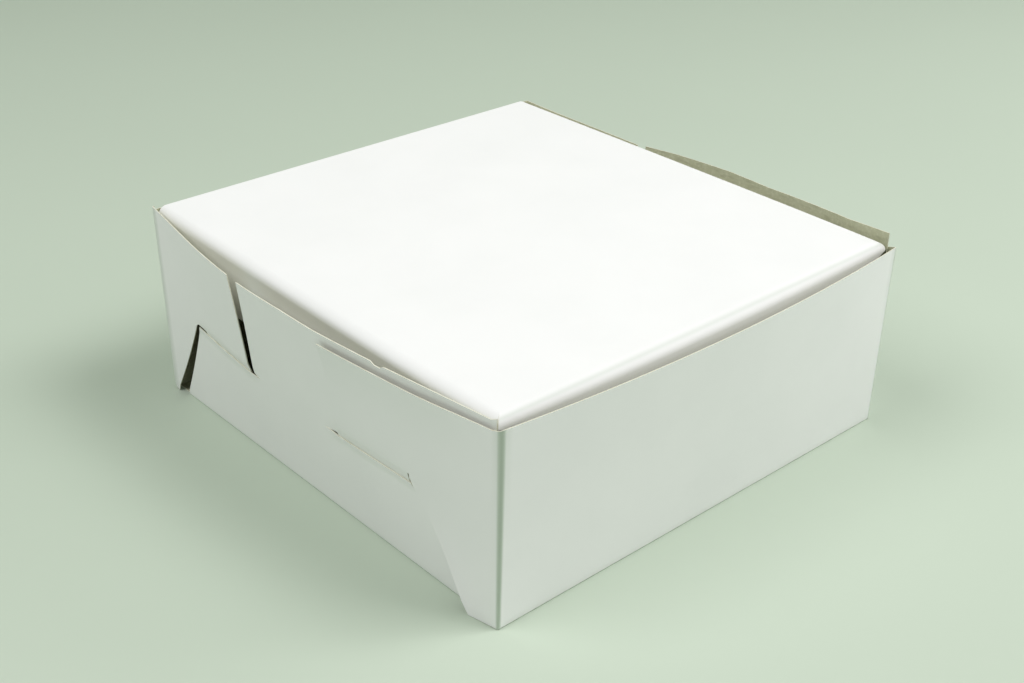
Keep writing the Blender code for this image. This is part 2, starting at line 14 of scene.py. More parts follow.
import json
import logging
import math
from collections.abc import Callable, Iterable
from dataclasses import dataclass, field
from enum import Enum

import bmesh
import bpy
from mathutils import Matrix, Vector

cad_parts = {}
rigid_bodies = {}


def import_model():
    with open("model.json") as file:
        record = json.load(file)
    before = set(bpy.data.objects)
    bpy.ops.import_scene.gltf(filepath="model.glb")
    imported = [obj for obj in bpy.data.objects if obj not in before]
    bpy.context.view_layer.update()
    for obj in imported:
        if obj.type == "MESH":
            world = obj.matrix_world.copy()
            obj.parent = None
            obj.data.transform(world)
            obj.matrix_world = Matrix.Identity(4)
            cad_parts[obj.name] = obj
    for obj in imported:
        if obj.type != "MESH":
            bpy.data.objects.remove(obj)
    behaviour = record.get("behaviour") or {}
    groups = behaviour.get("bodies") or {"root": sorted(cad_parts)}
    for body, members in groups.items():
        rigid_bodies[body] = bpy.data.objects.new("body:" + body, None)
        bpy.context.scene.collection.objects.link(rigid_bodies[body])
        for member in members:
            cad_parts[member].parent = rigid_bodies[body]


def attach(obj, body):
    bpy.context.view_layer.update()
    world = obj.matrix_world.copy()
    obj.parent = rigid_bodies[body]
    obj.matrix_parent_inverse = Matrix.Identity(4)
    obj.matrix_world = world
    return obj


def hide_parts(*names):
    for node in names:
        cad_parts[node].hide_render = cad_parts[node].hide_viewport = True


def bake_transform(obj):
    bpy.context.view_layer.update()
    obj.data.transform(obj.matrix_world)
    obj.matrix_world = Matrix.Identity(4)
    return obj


for stray in list(bpy.data.objects):
    bpy.data.objects.remove(stray, do_unlink=True)
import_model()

LOG = logging.getLogger("cake_box")
# Name of the point attribute whose mark paints the coated face darker and greener along the folds: partly
# the crushed fibres of a scored crease, partly painted shade.
CREASE_SHADE_MARK = "crease"
SAME_POINT = 0.000001

# A bend is a point of a flat sheet and the direction across the line that runs through it
Point = tuple[float, float]
Bend = tuple[Point, Point]
Span = tuple[float, float]
Colour = tuple[float, float, float, float]
Socket = bpy.types.NodeSocket
Place = Callable[[float, float], Vector]
Offset = Callable[["Side", float, float], float]


class Face(Enum):
    """The three kinds of surface on a cut sheet, by material slot."""

    COATED = 0
    BARE = 1
    CUT = 2


class Side(Enum):
    """The two sides of the box, by the direction in which they face."""

    LEFT = -1
    RIGHT = 1

    @property
    def index(self) -> int:
        """Place of this side's value in a pair, left before right."""
        return 0 if self is Side.LEFT else 1

    @classmethod
    def of(cls, along: float) -> "Side":
        """The side on which a point of a flat sheet lies."""
        return cls.LEFT if along < 0 else cls.RIGHT


@dataclass(frozen=True)
class Board:
    """Sizes of the paperboard and of how it folds and overlaps."""

    thickness: float = 0.0005
    clearance: float = 0.0003
    fold_radius: float = 0.0012
    knife_cut: float = 0.0006
    bend_pitch: float = 0.0045
    fold_facets: int = 6
    corner_pitch: float = 0.0004
    # Reach, width and strength of the darker marks painted along the folds: partly crushed crease fibres,
    # partly painted shade.
    crease_shade_reach: float = 0.0011
    crease_shade_width_share: float = 0.85
    corner_shade_falloff: int = 4
    foot_crease_shade: float = 0.08
    sharp_angle: float = math.radians(35)

    @property
    def layer(self) -> float:
        """Distance between two sheets that lie on each other."""
        return self.thickness + self.clearance

    @property
    def half_cut(self) -> float:
        """Half the width of a knife cut."""
        return self.knife_cut / 2

    @property
    def quarter_fold(self) -> float:
        """Length of board in a quarter fold."""
        return self.fold_radius * math.pi / 2

    @property
    def fold_end(self) -> float:
        """Flat coordinate of a quarter fold's far end, where its near end is at the fold radius."""
        return self.fold_radius - self.quarter_fold


@dataclass(frozen=True)
class BoxSizes:
    """Outer sizes of the tray and how far its walls bulge."""

    width: float = 0.254
    depth: float = 0.266
    front_height: float = 0.0990
    lid_rear_rise: float = 0.0055
    rear_corner_rise: tuple[float, float] = (0.0064, 0.0043)
    hinge_gap: float = 0.0008
    side_standoff: float = 0.0012
    standoff_length: float = 0.040
    side_bulge: float = 0.01149
    front_bulge: float = 0.0072
    front_lean: float = 0.0028
    front_lean_length: float = 0.060
    rear_bulge: float = 0.00199
    widest_to_rear: tuple[float, float] = (0.30, -0.30)
    bulge_rise: float = 1.3
    bulge_flatness: float = 2.0
    corner_radii: tuple[float, float] = (0.0014, 0.0026)

    @property
    def lid_height(self) -> float:
        """Height of the lid's top at its rear crease."""
        return self.front_height + self.lid_rear_rise

    @property
    def shift(self) -> float:
        """How far the corners' middle lies behind the origin."""
        return (self.front_lean + self.front_bulge - self.rear_bulge) / 2

    @property
    def front_face(self) -> float:
        """Outer face of the front corners."""
        return self.shift - self.depth / 2

    @property
    def rear_face(self) -> float:
        """Outer face of the rear corners."""
        return self.shift + self.depth / 2

    def top_bulge(self, side: Side, forward: float) -> float:
        """How far a side stands out at its top edge.

        Args:
            side: Which side.
            forward: Share of the way from the rear corner to the front one.

        Returns:
            The bulge, outward.
        """
        phase = forward * (1 + self.widest_to_rear[side.index] * (1 - forward))
        return self.side_bulge * math.sin(math.pi * phase)


@dataclass(frozen=True)
class SideWallCut:
    """Outline of a side wall, forked at the front lock and hooked at the rear lock."""

    rise: float = 0.0003
    rear_rise: float = 0.0014
    rear_rise_start: float = 0.113
    rear_rise_end: float = 0.136
    nick_front: float = 0.0665
    nick_rear: float = 0.0745
    nick_depth: float = 0.0014
    nick_slope: float = 0.0022
    neck_back: float = 0.0074
    neck_rise: float = 0.0013
    tip_back: float = 0.0045
    tip_rise: float = 0.0027
    right_rear_rise: float = -0.0003
    right_shoulder: Point = (0.150, 0.0009)
    right_crest: Point = (0.113, 0.0017)
    right_dip: Point = (0.085, 0.0012)
    right_slope: Point = (0.030, 0.0034)
    right_tip_rise: float = 0.0061
    upper_tongue_low: float = 0.058
    shoulder_back: float = 0.0560
    cheek_back: float = 0.0518
    cheek_height: float = 0.0415
    tongue_end_back: float = 0.033
    tongue_end_height: float = 0.031
    crease_front: float = 0.008
    crease_height: float = 0.003
    crease_rear_reach: float = 0.0124
    rear_top_reach: float = 0.0935
    rear_low_reach: float = 0.0897


@dataclass(frozen=True)
class FrontLockCut:
    """Outline of a front ear: outside above the knife line, its tongue inside, its foot outside in front."""

    line_height: float = 0.0460
    passage: float = 0.0045
    slit_start: float = 0.057
    slit_end: float = 0.118
    hook_height: float = 0.0505
    hook_widening: float = 0.0004
    ear_length: float = 0.1075
    ear_tip_drop: float = 0.0038
    ear_middle_back: float = 0.050
    ear_middle_drop: float = 0.0038
    ear_neck_back: float = 0.005
    ear_neck_drop: float = 0.0018
    foot_length: float = 0.0160
    foot_knee_back: float = 0.0207
    foot_knee_height: float = 0.0050
    foot_flare: float = 0.0037
    foot_flare_fall: float = 2.8
    lip_top_back: float = 0.0545
    lip_top_height: float = 0.0455
    tongue_low: float = 0.006
    tongue_corner: float = 0.014
    edge_lift: tuple[float, float] = (0.0023, 0.0)
    edge_lift_height: float = 0.030
    edge_lift_start: float = 0.035


@dataclass(frozen=True)
class RearLockCut:
    """Outline of a rear ear and its knife line, with each reach measured forward from the rear corner."""

    line_reach: float = 0.0378
    line_height: float = 0.0523
    slit_reach: float = 0.0950
    slit_height: float = 0.0473
    ear_top_rise: tuple[float, float] = (0.0032, -0.0013)
    ear_top_reach: float = 0.0870
    ear_neck_reach: float = 0.0868
    tongue_reach: float = 0.0875
    slot_reach: float = 0.0450
    slot_top: float = 0.0030
    lip_reach: float = 0.0355
    foot_reach: float = 0.0057
    foot_height: float = 0.0040
    corner_lift: float = 0.0035
    tongue_low: float = 0.010
    tongue_corner: float = 0.010


@dataclass(frozen=True)
class FlapCut:
    """Outlines of the lid's tuck flaps."""

    front_depth: float = 0.038
    front_lean: float = math.radians(5.5)
    front_taper: float = math.radians(30)
    front_corner: float = 0.009
    front_margin: float = 0.0020
    side_depth: float = 0.034
    side_front_taper: float = math.radians(61)
    side_rear_taper: float = math.radians(20)
    side_corner: float = 0.008
    side_front_margin: float = 0.0020
    side_rear_margin: float = 0.004
    top_margin: float = 0.0008
    top_run: float = 0.0075


def ramp(value: float, start: float, end: float) -> float:
    """0 before start, 1 past end, straight between them."""
    return min(max((value - start) / (end - start), 0), 1)


def places_between(first: float, last: float, pitch: float) -> list[float]:
    """Evenly spaced places strictly between two ends.

    Args:
        first: One end.
        last: The other end.
        pitch: Wanted distance between places.

    Returns:
        The places, from first to last.
    """
    steps = max(round((last - first) / pitch), 1)
    return [first + (last - first) * step / steps for step in range(1, steps)]


def mirrored(places: list[float]) -> list[float]:
    """The places on both sides of the middle."""
    return [sign * place for sign in (-1, 1) for place in places]


def joined(half: list[Point], other: list[Point]) -> list[Point]:
    """Joins two halves of an outline, the other one mirrored about the middle and walked back."""
    return [*half, *[(-along, up) for along, up in reversed(other)]]


def nearness(distance: float, reach: float, falloff: int = 2) -> float:
    """1 on a line, falling off softly past its reach, and faster for a higher falloff."""
    return math.exp(-((distance / reach) ** falloff))


def upright(places: Iterable[float]) -> list[Bend]:
    """Bend lines that run up a sheet."""
    return [((place, 0), (1, 0)) for place in places]


def level(heights: Iterable[float]) -> list[Bend]:
    """Bend lines that run along a sheet."""
    return [((0, height), (0, 1)) for height in heights]


def rounded(corner: Point, before: Point, after: Point, radius: float, facets: int = 8) -> list[Point]:
    """Replaces a corner of an outline by an arc.

    Args:
        corner: The sharp corner.
        before: The outline's point before it.
        after: The outline's point after it.
        radius: Radius of the arc.
        facets: Straight runs in the arc.

    Returns:
        Points of the arc, in order.
    """
    middle, first, last = Vector(corner), Vector(before), Vector(after)
    to_first = (first - middle).normalized()
    to_last = (last - middle).normalized()
    half = to_first.angle(to_last) / 2
    centre = middle + (to_first + to_last).normalized() * radius / math.sin(half)
    start = middle + to_first * radius / math.tan(half) - centre
    end = middle + to_last * radius / math.tan(half) - centre
    sweep = start.angle(end)
    arc = []
    for step in range(facets + 1):
        share = step / facets
        blend = start * math.sin((1 - share) * sweep) + end * math.sin(share * sweep)
        arc.append(tuple(centre + blend / math.sin(sweep)))
    return arc


@dataclass(frozen=True)
class Pattern:
    """A noise pattern of a finish.

    Attributes:
        scale: Blotches in a metre.
        octaves: Octaves of finer noise.
        axis_shares: Share of the scale along each axis. A small one draws the blotches out that way.
        span: The noise values that blend in nothing and the full strength.
        strength: The largest share that the pattern blends in.
    """

    scale: float
    octaves: float
    axis_shares: tuple[float, float, float] = (1.0, 1.0, 1.0)
    span: Span = (0.0, 1.0)
    strength: float = 1.0


class NodeSheet:
    """A material's nodes, which read the place of a point on the piece."""

    def __init__(self, name: str) -> None:
        """Starts a material with its Principled shader.

        Args:
            name: Name of the material.
        """
        self.material = bpy.data.materials.new(name)
        self.material.use_nodes = True
        self.tree = self.material.node_tree
        self.shader = self.tree.nodes["Principled BSDF"]
        self.place = self.add("ShaderNodeTexCoord").outputs["Object"]

    def add(self, kind: str, inputs: dict[str, object] | None = None, **settings: object) -> bpy.types.Node:
        """Adds a node.

        Args:
            kind: Blender's node type.
            inputs: A value or another node's output for each input named.
            settings: Properties of the node.

        Returns:
            The new node.
        """
        node = self.tree.nodes.new(kind)
        for key, setting in settings.items():
            setattr(node, key, setting)
        for key, value in (inputs or {}).items():
            self.fill(node.inputs[key], value)
        return node

    def fill(self, target: Socket, value: object) -> None:
        """Gives an input a value of its own, or links it to another node's output.

        Args:
            target: The input.
            value: The value or the output.
        """
        if isinstance(value, bpy.types.NodeSocket):
            self.tree.links.new(value, target)
        else:
            target.default_value = value

    def noise(self, pattern: Pattern) -> Socket:
        """Adds a pattern's noise, drawn out along an axis where its shares differ.

        Args:
            pattern: The pattern.

        Returns:
            The noise.
        """
        place = self.place
        if len(set(pattern.axis_shares)) > 1:
            mapping = self.add("ShaderNodeMapping", {"Vector": place, "Scale": pattern.axis_shares})
            place = mapping.outputs["Vector"]
        inputs = {"Vector": place, "Scale": pattern.scale, "Detail": pattern.octaves}
        return self.add("ShaderNodeTexNoise", inputs).outputs["Fac"]

    def between(self, value: Socket, known: Span, wanted: Span) -> Socket:
        """Adds a map from one range to another.

        Args:
            value: The value to map.
            known: Its range.
            wanted: What the ends of that range become.

        Returns:
            The mapped value.
        """
        limits = zip(("From Min", "From Max", "To Min", "To Max"), (*known, *wanted))
        return self.add("ShaderNodeMapRange", {"Value": value, **dict(limits)}).outputs["Result"]

    def share(self, noise: Socket, pattern: Pattern) -> Socket:
        """Turns a pattern's noise into the share that it blends in."""
        return self.between(noise, pattern.span, (0, pattern.strength))

    def mixed(self, share: Socket, first: Socket | Colour, second: Socket | Colour) -> Socket:
        """Adds a mix of two colours.

        Args:
            share: Share of the second colour.
            first: A colour or the output of one.
            second: A colour or the output of one.

        Returns:
            The mixed colour.
        """
        node = self.add("ShaderNodeMix", {"Factor": share}, data_type="RGBA")
        colours = [socket for socket in node.inputs if socket.type == "RGBA"]
        for socket, colour in zip(colours, (first, second)):
            self.fill(socket, colour)
        return next(socket for socket in node.outputs if socket.type == "RGBA")

    def blended(self, pattern: Pattern, first: Socket | Colour, second: Socket | Colour) -> Socket:
        """Mixes two colours by a pattern."""
        return self.mixed(self.share(self.noise(pattern), pattern), first, second)

    def bumped(self, height: Socket, distance: float, below: Socket | None = None) -> Socket:
        """Adds a bump.

        Args:
            height: Value from 0 to 1.
            distance: Depth of the relief.
            below: A bump that this one lies on.

        Returns:
            The bumped normal.
        """
        node = self.add("ShaderNodeBump", {"Strength": 1.0, "Distance": distance, "Height": height})
        if below is not None:
            self.fill(node.inputs["Normal"], below)
        return node.outputs["Normal"]

    def finished(self, inputs: dict[str, object]) -> bpy.types.Material:
        """Fills the shader's inputs.

        Args:
            inputs: A value or a node's output for each of the shader's inputs named.

        Returns:
            The material.
        """
        for key, value in inputs.items():
            self.fill(self.shader.inputs[key], value)
        return self.material


@dataclass(frozen=True)
class CoatedFinish:
    """White clay coat over board: satin, faintly clouded, with the fibres just showing through. Its folds
    are painted darker: partly crushed fibres, partly painted shade.
    """

    name: str = "white_coat"
    colour: Colour = (0.925, 0.929, 0.922, 1.0)
    clouded: Colour = (0.905, 0.911, 0.903, 1.0)
    # Dark green-grey of the folds: partly crushed crease fibres, partly painted shade.
    crease_shade_colour: Colour = (0.49, 0.57, 0.47, 1.0)
    crease_shade_strength: float = 0.85
    roughness: Span = (0.58, 0.70)
    specular: float = 0.25
    cloud: Pattern = Pattern(26.0, 4, span=(0.35, 0.70))
    fibre: Pattern = Pattern(1400.0, 2, axis_shares=(1, 0.18, 1), span=(0.3, 0.7))
    grain: Pattern = Pattern(5200.0, 2)
    slack: Pattern = Pattern(16.0, 1)
    slack_depth: float = 0.00035
    fibre_depth: float = 0.000012
    grain_depth: float = 0.000010

    def material(self) -> bpy.types.Material:
        """Makes the material.

        Returns:
            The white coat, painted darker and greener along its folds: partly the crushed fibres of a scored
            crease, partly painted shade.
        """
        sheet = NodeSheet(self.name)
        fibre = sheet.noise(self.fibre)
        # How near a fold each point lies, which sets where the crease shade is painted.
        crease = sheet.add("ShaderNodeAttribute", attribute_name=CREASE_SHADE_MARK).outputs["Fac"]
        crease_shade_amount = sheet.between(crease, (0, 1), (0, self.crease_shade_strength))
        white = sheet.blended(self.cloud, self.colour, self.clouded)
        relief = sheet.bumped(sheet.noise(self.slack), self.slack_depth)
        relief = sheet.bumped(fibre, self.fibre_depth, relief)
        inputs = {
            "Base Color": sheet.mixed(crease_shade_amount, white, self.crease_shade_colour),
            "Roughness": sheet.between(fibre, self.fibre.span, self.roughness),
            "Specular IOR Level": self.specular,
            "Normal": sheet.bumped(sheet.noise(self.grain), self.grain_depth, relief),
        }
        return sheet.finished(inputs)


@dataclass(frozen=True)
class BareFinish:
    """Uncoated grey-brown back of the board, with light and dark fibres."""

    name: str = "bare_board"
    colour: Colour = (0.51, 0.52, 0.355, 1.0)
    dark: Colour = (0.40, 0.405, 0.265, 1.0)
    light: Colour = (0.62, 0.625, 0.47, 1.0)
    roughness: float = 0.88
    specular: float = 0.2
    fibre: Pattern = Pattern(620.0, 3, axis_shares=(0.22, 1, 1), span=(0.45, 0.72), strength=0.8)
    cross_fibre: Pattern = Pattern(620.0, 3, axis_shares=(1, 0.22, 1), span=(0.50, 0.72), strength=0.8)
    fleck: Pattern = Pattern(900.0, 2, span=(0.66, 0.74), strength=0.7)
    cloud: Pattern = Pattern(45.0, 3, span=(0.40, 0.80), strength=0.35)
    fibre_depth: float = 0.00004

    def material(self) -> bpy.types.Material:
        """Makes the material.

        Returns:
            The bare board.
        """
        sheet = NodeSheet(self.name)
        fibre, cross = sheet.noise(self.fibre), sheet.noise(self.cross_fibre)
        brown = sheet.mixed(sheet.share(fibre, self.fibre), self.colour, self.light)
        brown = sheet.mixed(sheet.share(cross, self.cross_fibre), brown, self.dark)
        brown = sheet.blended(self.fleck, brown, self.dark)
        relief = sheet.bumped(fibre, self.fibre_depth)
        inputs = {
            "Base Color": sheet.blended(self.cloud, brown, self.light),
            "Roughness": self.roughness,
            "Specular IOR Level": self.specular,
            "Normal": sheet.bumped(cross, self.fibre_depth, relief),
        }
        return sheet.finished(inputs)


@dataclass(frozen=True)
class CutFinish:
    """Knife-cut edge of the board: cream plies, a little fuzzy."""

    name: str = "cut_edge"
    colour: Colour = (0.78, 0.775, 0.66, 1.0)
    dark: Colour = (0.60, 0.58, 0.44, 1.0)
    roughness: float = 0.9
    specular: float = 0.2
    ply: Pattern = Pattern(3000.0, 1, axis_shares=(1, 0.06, 0.06), span=(0.45, 0.70), strength=0.75)
    fuzz: Pattern = Pattern(2200.0, 3, span=(0.60, 0.75), strength=0.6)
    fuzz_depth: float = 0.00003

    def material(self) -> bpy.types.Material:
        """Makes the material.

        Returns:
            The cut edge.
        """
        sheet = NodeSheet(self.name)
        fuzz = sheet.noise(self.fuzz)
        cream = sheet.blended(self.ply, self.colour, self.dark)
        inputs = {
            "Base Color": sheet.mixed(sheet.share(fuzz, self.fuzz), cream, self.dark),
            "Roughness": self.roughness,
            "Specular IOR Level": self.specular,
            "Normal": sheet.bumped(fuzz, self.fuzz_depth),
        }
        return sheet.finished(inputs)


@dataclass(frozen=True)
class FloorFinish:
    """Pale matt paint of the studio's floor, faintly blotched."""

    name: str = "floor_paint"
    colour: Colour = (0.555, 0.64, 0.53, 1.0)
    roughness: float = 0.8
    blotch: Pattern = Pattern(3.0, 2, span=(0.3, 0.7))
    blotch_share: float = 0.985

    def material(self) -> bpy.types.Material:
        """Makes the material.

        Returns:
            The paint.
        """
        sheet = NodeSheet(self.name)
        blotched = (*[channel * self.blotch_share for channel in self.colour[:-1]], self.colour[-1])
        colour = sheet.blended(self.blotch, self.colour, blotched)
        return sheet.finished({"Base Color": colour, "Roughness": self.roughness})


@dataclass
class BoardFinishes:
    """The three materials of a cut sheet, made once and shared by all of them."""

    coated: CoatedFinish = field(default_factory=CoatedFinish)
    bare: BareFinish = field(default_factory=BareFinish)
    cut: CutFinish = field(default_factory=CutFinish)
    made: list[bpy.types.Material] = field(default_factory=list)

    def slots(self) -> list[bpy.types.Material]:
        """Makes the materials at the first call.

        Returns:
            The materials in the order of Face.
        """
        if not self.made:
            self.made = [self.coated.material(), self.bare.material(), self.cut.material()]
        return self.made


class Sheet:
    """A piece of board: an open mesh that is laid in its folded place and then given its thickness."""

    def __init__(self, mesh: bmesh.types.BMesh) -> None:
        """Takes the open mesh, with a mark on every point for how near a fold it lies, which sets where its
        coated face is painted darker: partly crushed fibres, partly painted shade.
        """
        self.mesh = mesh
        # The layer that carries the painted crease shade.
        self.crease = mesh.verts.layers.float.new(CREASE_SHADE_MARK)

    @classmethod
    def cut(cls, outline: list[Point], bends: list[Bend]) -> "Sheet":
        """Cuts a flat sheet and creases it across.

        Args:
            outline: Corners of the flat sheet.
            bends: Lines along which the sheet may bend.

        Returns:
            The flat sheet.
        """
        mesh = bmesh.new()
        corners = [mesh.verts.new((along, up, 0)) for along, up in outline]
        rim = [mesh.edges.new((corners[index - 1], corner)) for index, corner in enumerate(corners)]
        bmesh.ops.edgeloop_fill(mesh, edges=rim)
        sheet = cls(mesh)
        for (along, up), (normal_along, normal_up) in bends:
            sheet.slice(Vector((along, up, 0)), Vector((normal_along, normal_up, 0)), False)
        return sheet

    @classmethod
    def swept(
        cls, ends: tuple[Vector, Vector], drop: float, sweep: float, facets: int, pitch: float
    ) -> "Sheet":
        """Spins a straight edge about an axis below it, into the outside of a fold.

        Args:
            ends: Ends of the edge, in the direction about which it turns right-handed.
            drop: How far below the edge the axis lies.
            sweep: Angle of the fold.
            facets: Straight runs in the fold.
            pitch: Distance between points along the edge.

        Returns:
            The fold.
        """
        first, last = ends
        mesh = bmesh.new()
        steps = max(round((last - first).length / pitch), 1)
        verts = [mesh.verts.new(first.lerp(last, step / steps)) for step in range(steps + 1)]
        edges = [mesh.edges.new(pair) for pair in zip(verts, verts[1:])]
        bmesh.ops.spin(
            mesh,
            geom=verts + edges,
            cent=first - Vector((0, 0, drop)),
            axis=(last - first).normalized(),
            angle=sweep,
            steps=facets,
            use_merge=False,
            use_duplicate=False,
        )
        return cls(mesh)

    def slice(self, place: Vector, normal: Vector, trims: bool) -> None:
        """Cuts across the sheet.

        Args:
            place: A point of the cut.
            normal: Direction across the cut.
            trims: Whether what lies past the cut comes off.
        """
        bmesh.ops.bisect_plane(
            self.mesh,
            geom=self.mesh.verts[:] + self.mesh.edges[:] + self.mesh.faces[:],
            dist=SAME_POINT,
            plane_co=place,
            plane_no=normal,
            clear_outer=trims,
        )

    def mark(self, mark_at: Callable[[Vector], float]) -> "Sheet":
        """Marks how strongly each point's coated face is painted darker near a fold, as crushed fibres and
        painted shade.

        Args:
            mark_at: Gives a point's mark, from 0 to 1.

        Returns:
            The same sheet.
        """
        for vert in self.mesh.verts:
            vert[self.crease] = mark_at(vert.co)
        return self

    def lay(self, place: Place) -> "Sheet":
        """Moves each flat point to its folded place.

        Args:
            place: Gives the folded place of a flat point.

        Returns:
            The same sheet.
        """
        for vert in self.mesh.verts:
            vert.co = place(vert.co.x, vert.co.y)
        return self

    def face(self, outward: Vector) -> "Sheet":
        """Turns the coated side outward.

        Args:
            outward: A direction that it mostly faces.

        Returns:
            The same sheet.
        """
        self.mesh.normal_update()
        facing = sum((face.normal * face.calc_area() for face in self.mesh.faces), Vector())
        if facing.dot(outward) < 0:
            bmesh.ops.reverse_faces(self.mesh, faces=self.mesh.faces)
            self.mesh.normal_update()
        return self

    def thicken(self, board: Board) -> "Sheet":
        """Gives the laid sheet its thickness on the bare side, and sets which surface is which.

        Args:
            board: The board's sizes.

        Returns:
            The same sheet.
        """
        coated = set(self.mesh.faces)
        geometry = self.mesh.verts[:] + self.mesh.edges[:] + self.mesh.faces[:]
        bare = set(bmesh.ops.solidify(self.mesh, geom=geometry, thickness=board.thickness)["geom"])
        self.mesh.normal_update()
        for face in self.mesh.faces:
            face.smooth = True
            kind = Face.COATED if face in coated else Face.BARE if face in bare else Face.CUT
            face.material_index = kind.value
        for edge in self.mesh.edges:
            kinds = {face.material_index for face in edge.link_faces}
            edge.smooth = len(kinds) == 1 and edge.calc_face_angle(0) < board.sharp_angle
        return self

    def piece(self, name: str, finishes: BoardFinishes) -> bpy.types.Object:
        """Makes the sheet an object of the scene.

        Args:
            name: Name of the piece.
            finishes: The board's materials.

        Returns:
            The object.
        """
        data = bpy.data.meshes.new(name)
        self.mesh.to_mesh(data)
        self.mesh.free()
        for material in finishes.slots():
            data.materials.append(material)
        made = bpy.data.objects.new(name, data)
        bpy.context.scene.collection.objects.link(made)
        return made


@dataclass
class Tray:
    """The open tray: base, four walls and the four ears woven into the side walls."""

    board: Board
    box: BoxSizes
    finishes: BoardFinishes
    wall: SideWallCut = field(default_factory=SideWallCut)
    front: FrontLockCut = field(default_factory=FrontLockCut)
    rear: RearLockCut = field(default_factory=RearLockCut)
    corner_rows: tuple[float, ...] = (0.001, 0.0025)
    base_rows: tuple[float, ...] = (0.0, 0.06, -0.06)

    @property
    def side_face(self) -> float:
        """Outer face of a side wall at the foot, as a distance from the middle."""
        return self.box.width / 2 - self.board.layer - self.box.side_standoff

    @property
    def corner(self) -> float:
        """Half the flat width of the front and rear walls, between the ends of their corner folds."""
        return self.box.width / 2 - self.board.fold_radius

    @property
    def base_edge(self) -> float:
        """Half the flat width of the base, between the folds of the side walls."""
        return self.side_face - self.board.fold_radius

    # Bulges of the slack walls

    def side_bulge(self, side: Side, back: float, up: float) -> float:
        """How far a side stands out of its plane.

        Args:
            side: Which side.
            back: Distance behind the front corner.
            up: Height.

        Returns:
            The bulge, outward.
        """
        radius = self.board.fold_radius
        forward = 1 - ramp(back, radius, self.box.depth - radius)
        rise = max(up, 0) / (self.box.front_height + self.wall.rise)
        return self.box.top_bulge(side, forward) * rise**self.box.bulge_rise

    def front_lean(self, back: float, up: float) -> float:
        """How far a front corner leans forward, most at its top, and how the side beside it follows."""
        near = max(1 - max(back, 0) / self.box.front_lean_length, 0)
        return self.box.front_lean * near * max(up, 0) / self.box.front_height

    def crown(self, across: float) -> float:
        """1 at the middle of the front or rear wall, falling to 0 at its corners."""
        return 1 - min(abs(across) / self.corner, 1) ** self.box.bulge_flatness

    def front_bulge(self, across: float, up: float) -> float:
        """How far the front wall stands out, most at the middle of its top edge."""
        rise = (max(up, 0) / self.box.front_height) ** self.box.bulge_rise
        return self.front_lean(0, up) + self.box.front_bulge * self.crown(across) * rise

    def rear_bulge(self, across: float, up: float) -> float:
        """How far the rear wall stands out, most half way between its two straight creases."""
        rise = ramp(up, 0, self.box.lid_height)
        return self.box.rear_bulge * self.crown(across) * math.sin(math.pi * rise)

    # How the layers of a lock pass each other

    def rear_line(self, back: float) -> float:
        """The rear lock's knife line, which falls towards the front.

        Args:
            back: Distance behind the front corner.

        Returns:
            Height of the line there.
        """
        cut = self.rear
        fall = (cut.line_height - cut.slit_height) / (cut.slit_reach - cut.line_reach)
        return cut.line_height - fall * (self.box.depth - back - cut.line_reach)

    def passed(self, up: float, line: float) -> float:
        """1 above the knife line's passage, -1 below it, and a straight run between them."""
        return min(max((up - line) / self.front.passage, -1), 1)

    def lip_back(self, up: float) -> float:
        """The free edge of the front ear's foot.

        Args:
            up: Height.

        Returns:
            How far back the edge lies at that height.
        """
        cut = self.front
        if up < cut.foot_knee_height:
            return cut.foot_length + (cut.foot_knee_back - cut.foot_length) * up / cut.foot_knee_height
        rise = (up - cut.foot_knee_height) / (cut.lip_top_height - cut.foot_knee_height)
        return cut.foot_knee_back + (cut.lip_top_back - cut.foot_knee_back) * rise

    def wall_offset(self, _side: Side, back: float, up: float) -> float:
        """The lips of a knife line part, one inward and one outward, so that an ear can pass between them.

        Args:
            _side: Which side, which makes no difference here.
            back: Distance behind the front corner.
            up: Height.

        Returns:
            How far outward the side wall lies.
        """
        reach = self.box.depth - back
        if reach < self.box.depth / 2:
            line = self.rear_line(back)
            open_share = 1 - ramp(reach, self.rear.tongue_reach, self.rear.slit_reach)
        else:
            line = self.front.line_height
            open_share = 1 - ramp(back, self.front.ear_length, self.front.slit_end)
        lip = 1 if up < line else -1
        parting = self.board.thickness + self.board.clearance / 2
        return parting * lip * open_share * (1 - abs(self.passed(up, line)))

    def standoff(self, distance: float) -> float:
        """How far an ear stands off the side wall near its corner crease."""
        near = max(1 - distance / self.box.standoff_length, 0)
        return self.box.side_standoff * (1 if distance < self.board.fold_radius else near**2)

    def front_ear_offset(self, side: Side, back: float, up: float) -> float:
        """Outside the side wall, with the tongue inside below the knife line and the foot flaring out.

        Args:
            side: Which side.
            back: Distance behind the front corner.
            up: Height.

        Returns:
            How far outward the ear lies.
        """
        cut = self.front
        lift = cut.edge_lift[side.index] * ramp(back, 0, cut.edge_lift_start)
        lift *= ramp(up, self.box.front_height - cut.edge_lift_height, self.box.front_height) ** 2
        if back > cut.slit_start or back > self.lip_back(up) + self.board.half_cut:
            return self.board.layer * self.passed(up, cut.line_height) + lift
        flare = cut.foot_flare * max(back - self.board.fold_radius, 0)
        flare /= cut.foot_length - self.board.fold_radius
        flare *= max(1 - up / cut.lip_top_height, 0) ** cut.foot_flare_fall
        return self.board.layer + self.standoff(back) + lift + flare

    def rear_ear_offset(self, _side: Side, back: float, up: float) -> float:
        """Outside the side wall, with the tongue inside below the knife line.

        Args:
            _side: Which side, which makes no difference here.
            back: Distance behind the front corner.
            up: Height.

        Returns:
            How far outward the ear lies.
        """
        reach = self.box.depth - back
        if reach > (self.rear.slot_reach + self.rear.lip_reach) / 2:
            return self.board.layer * self.passed(up, self.rear_line(back))
        return self.board.layer + self.standoff(reach)

    # Where a flat sheet is laid

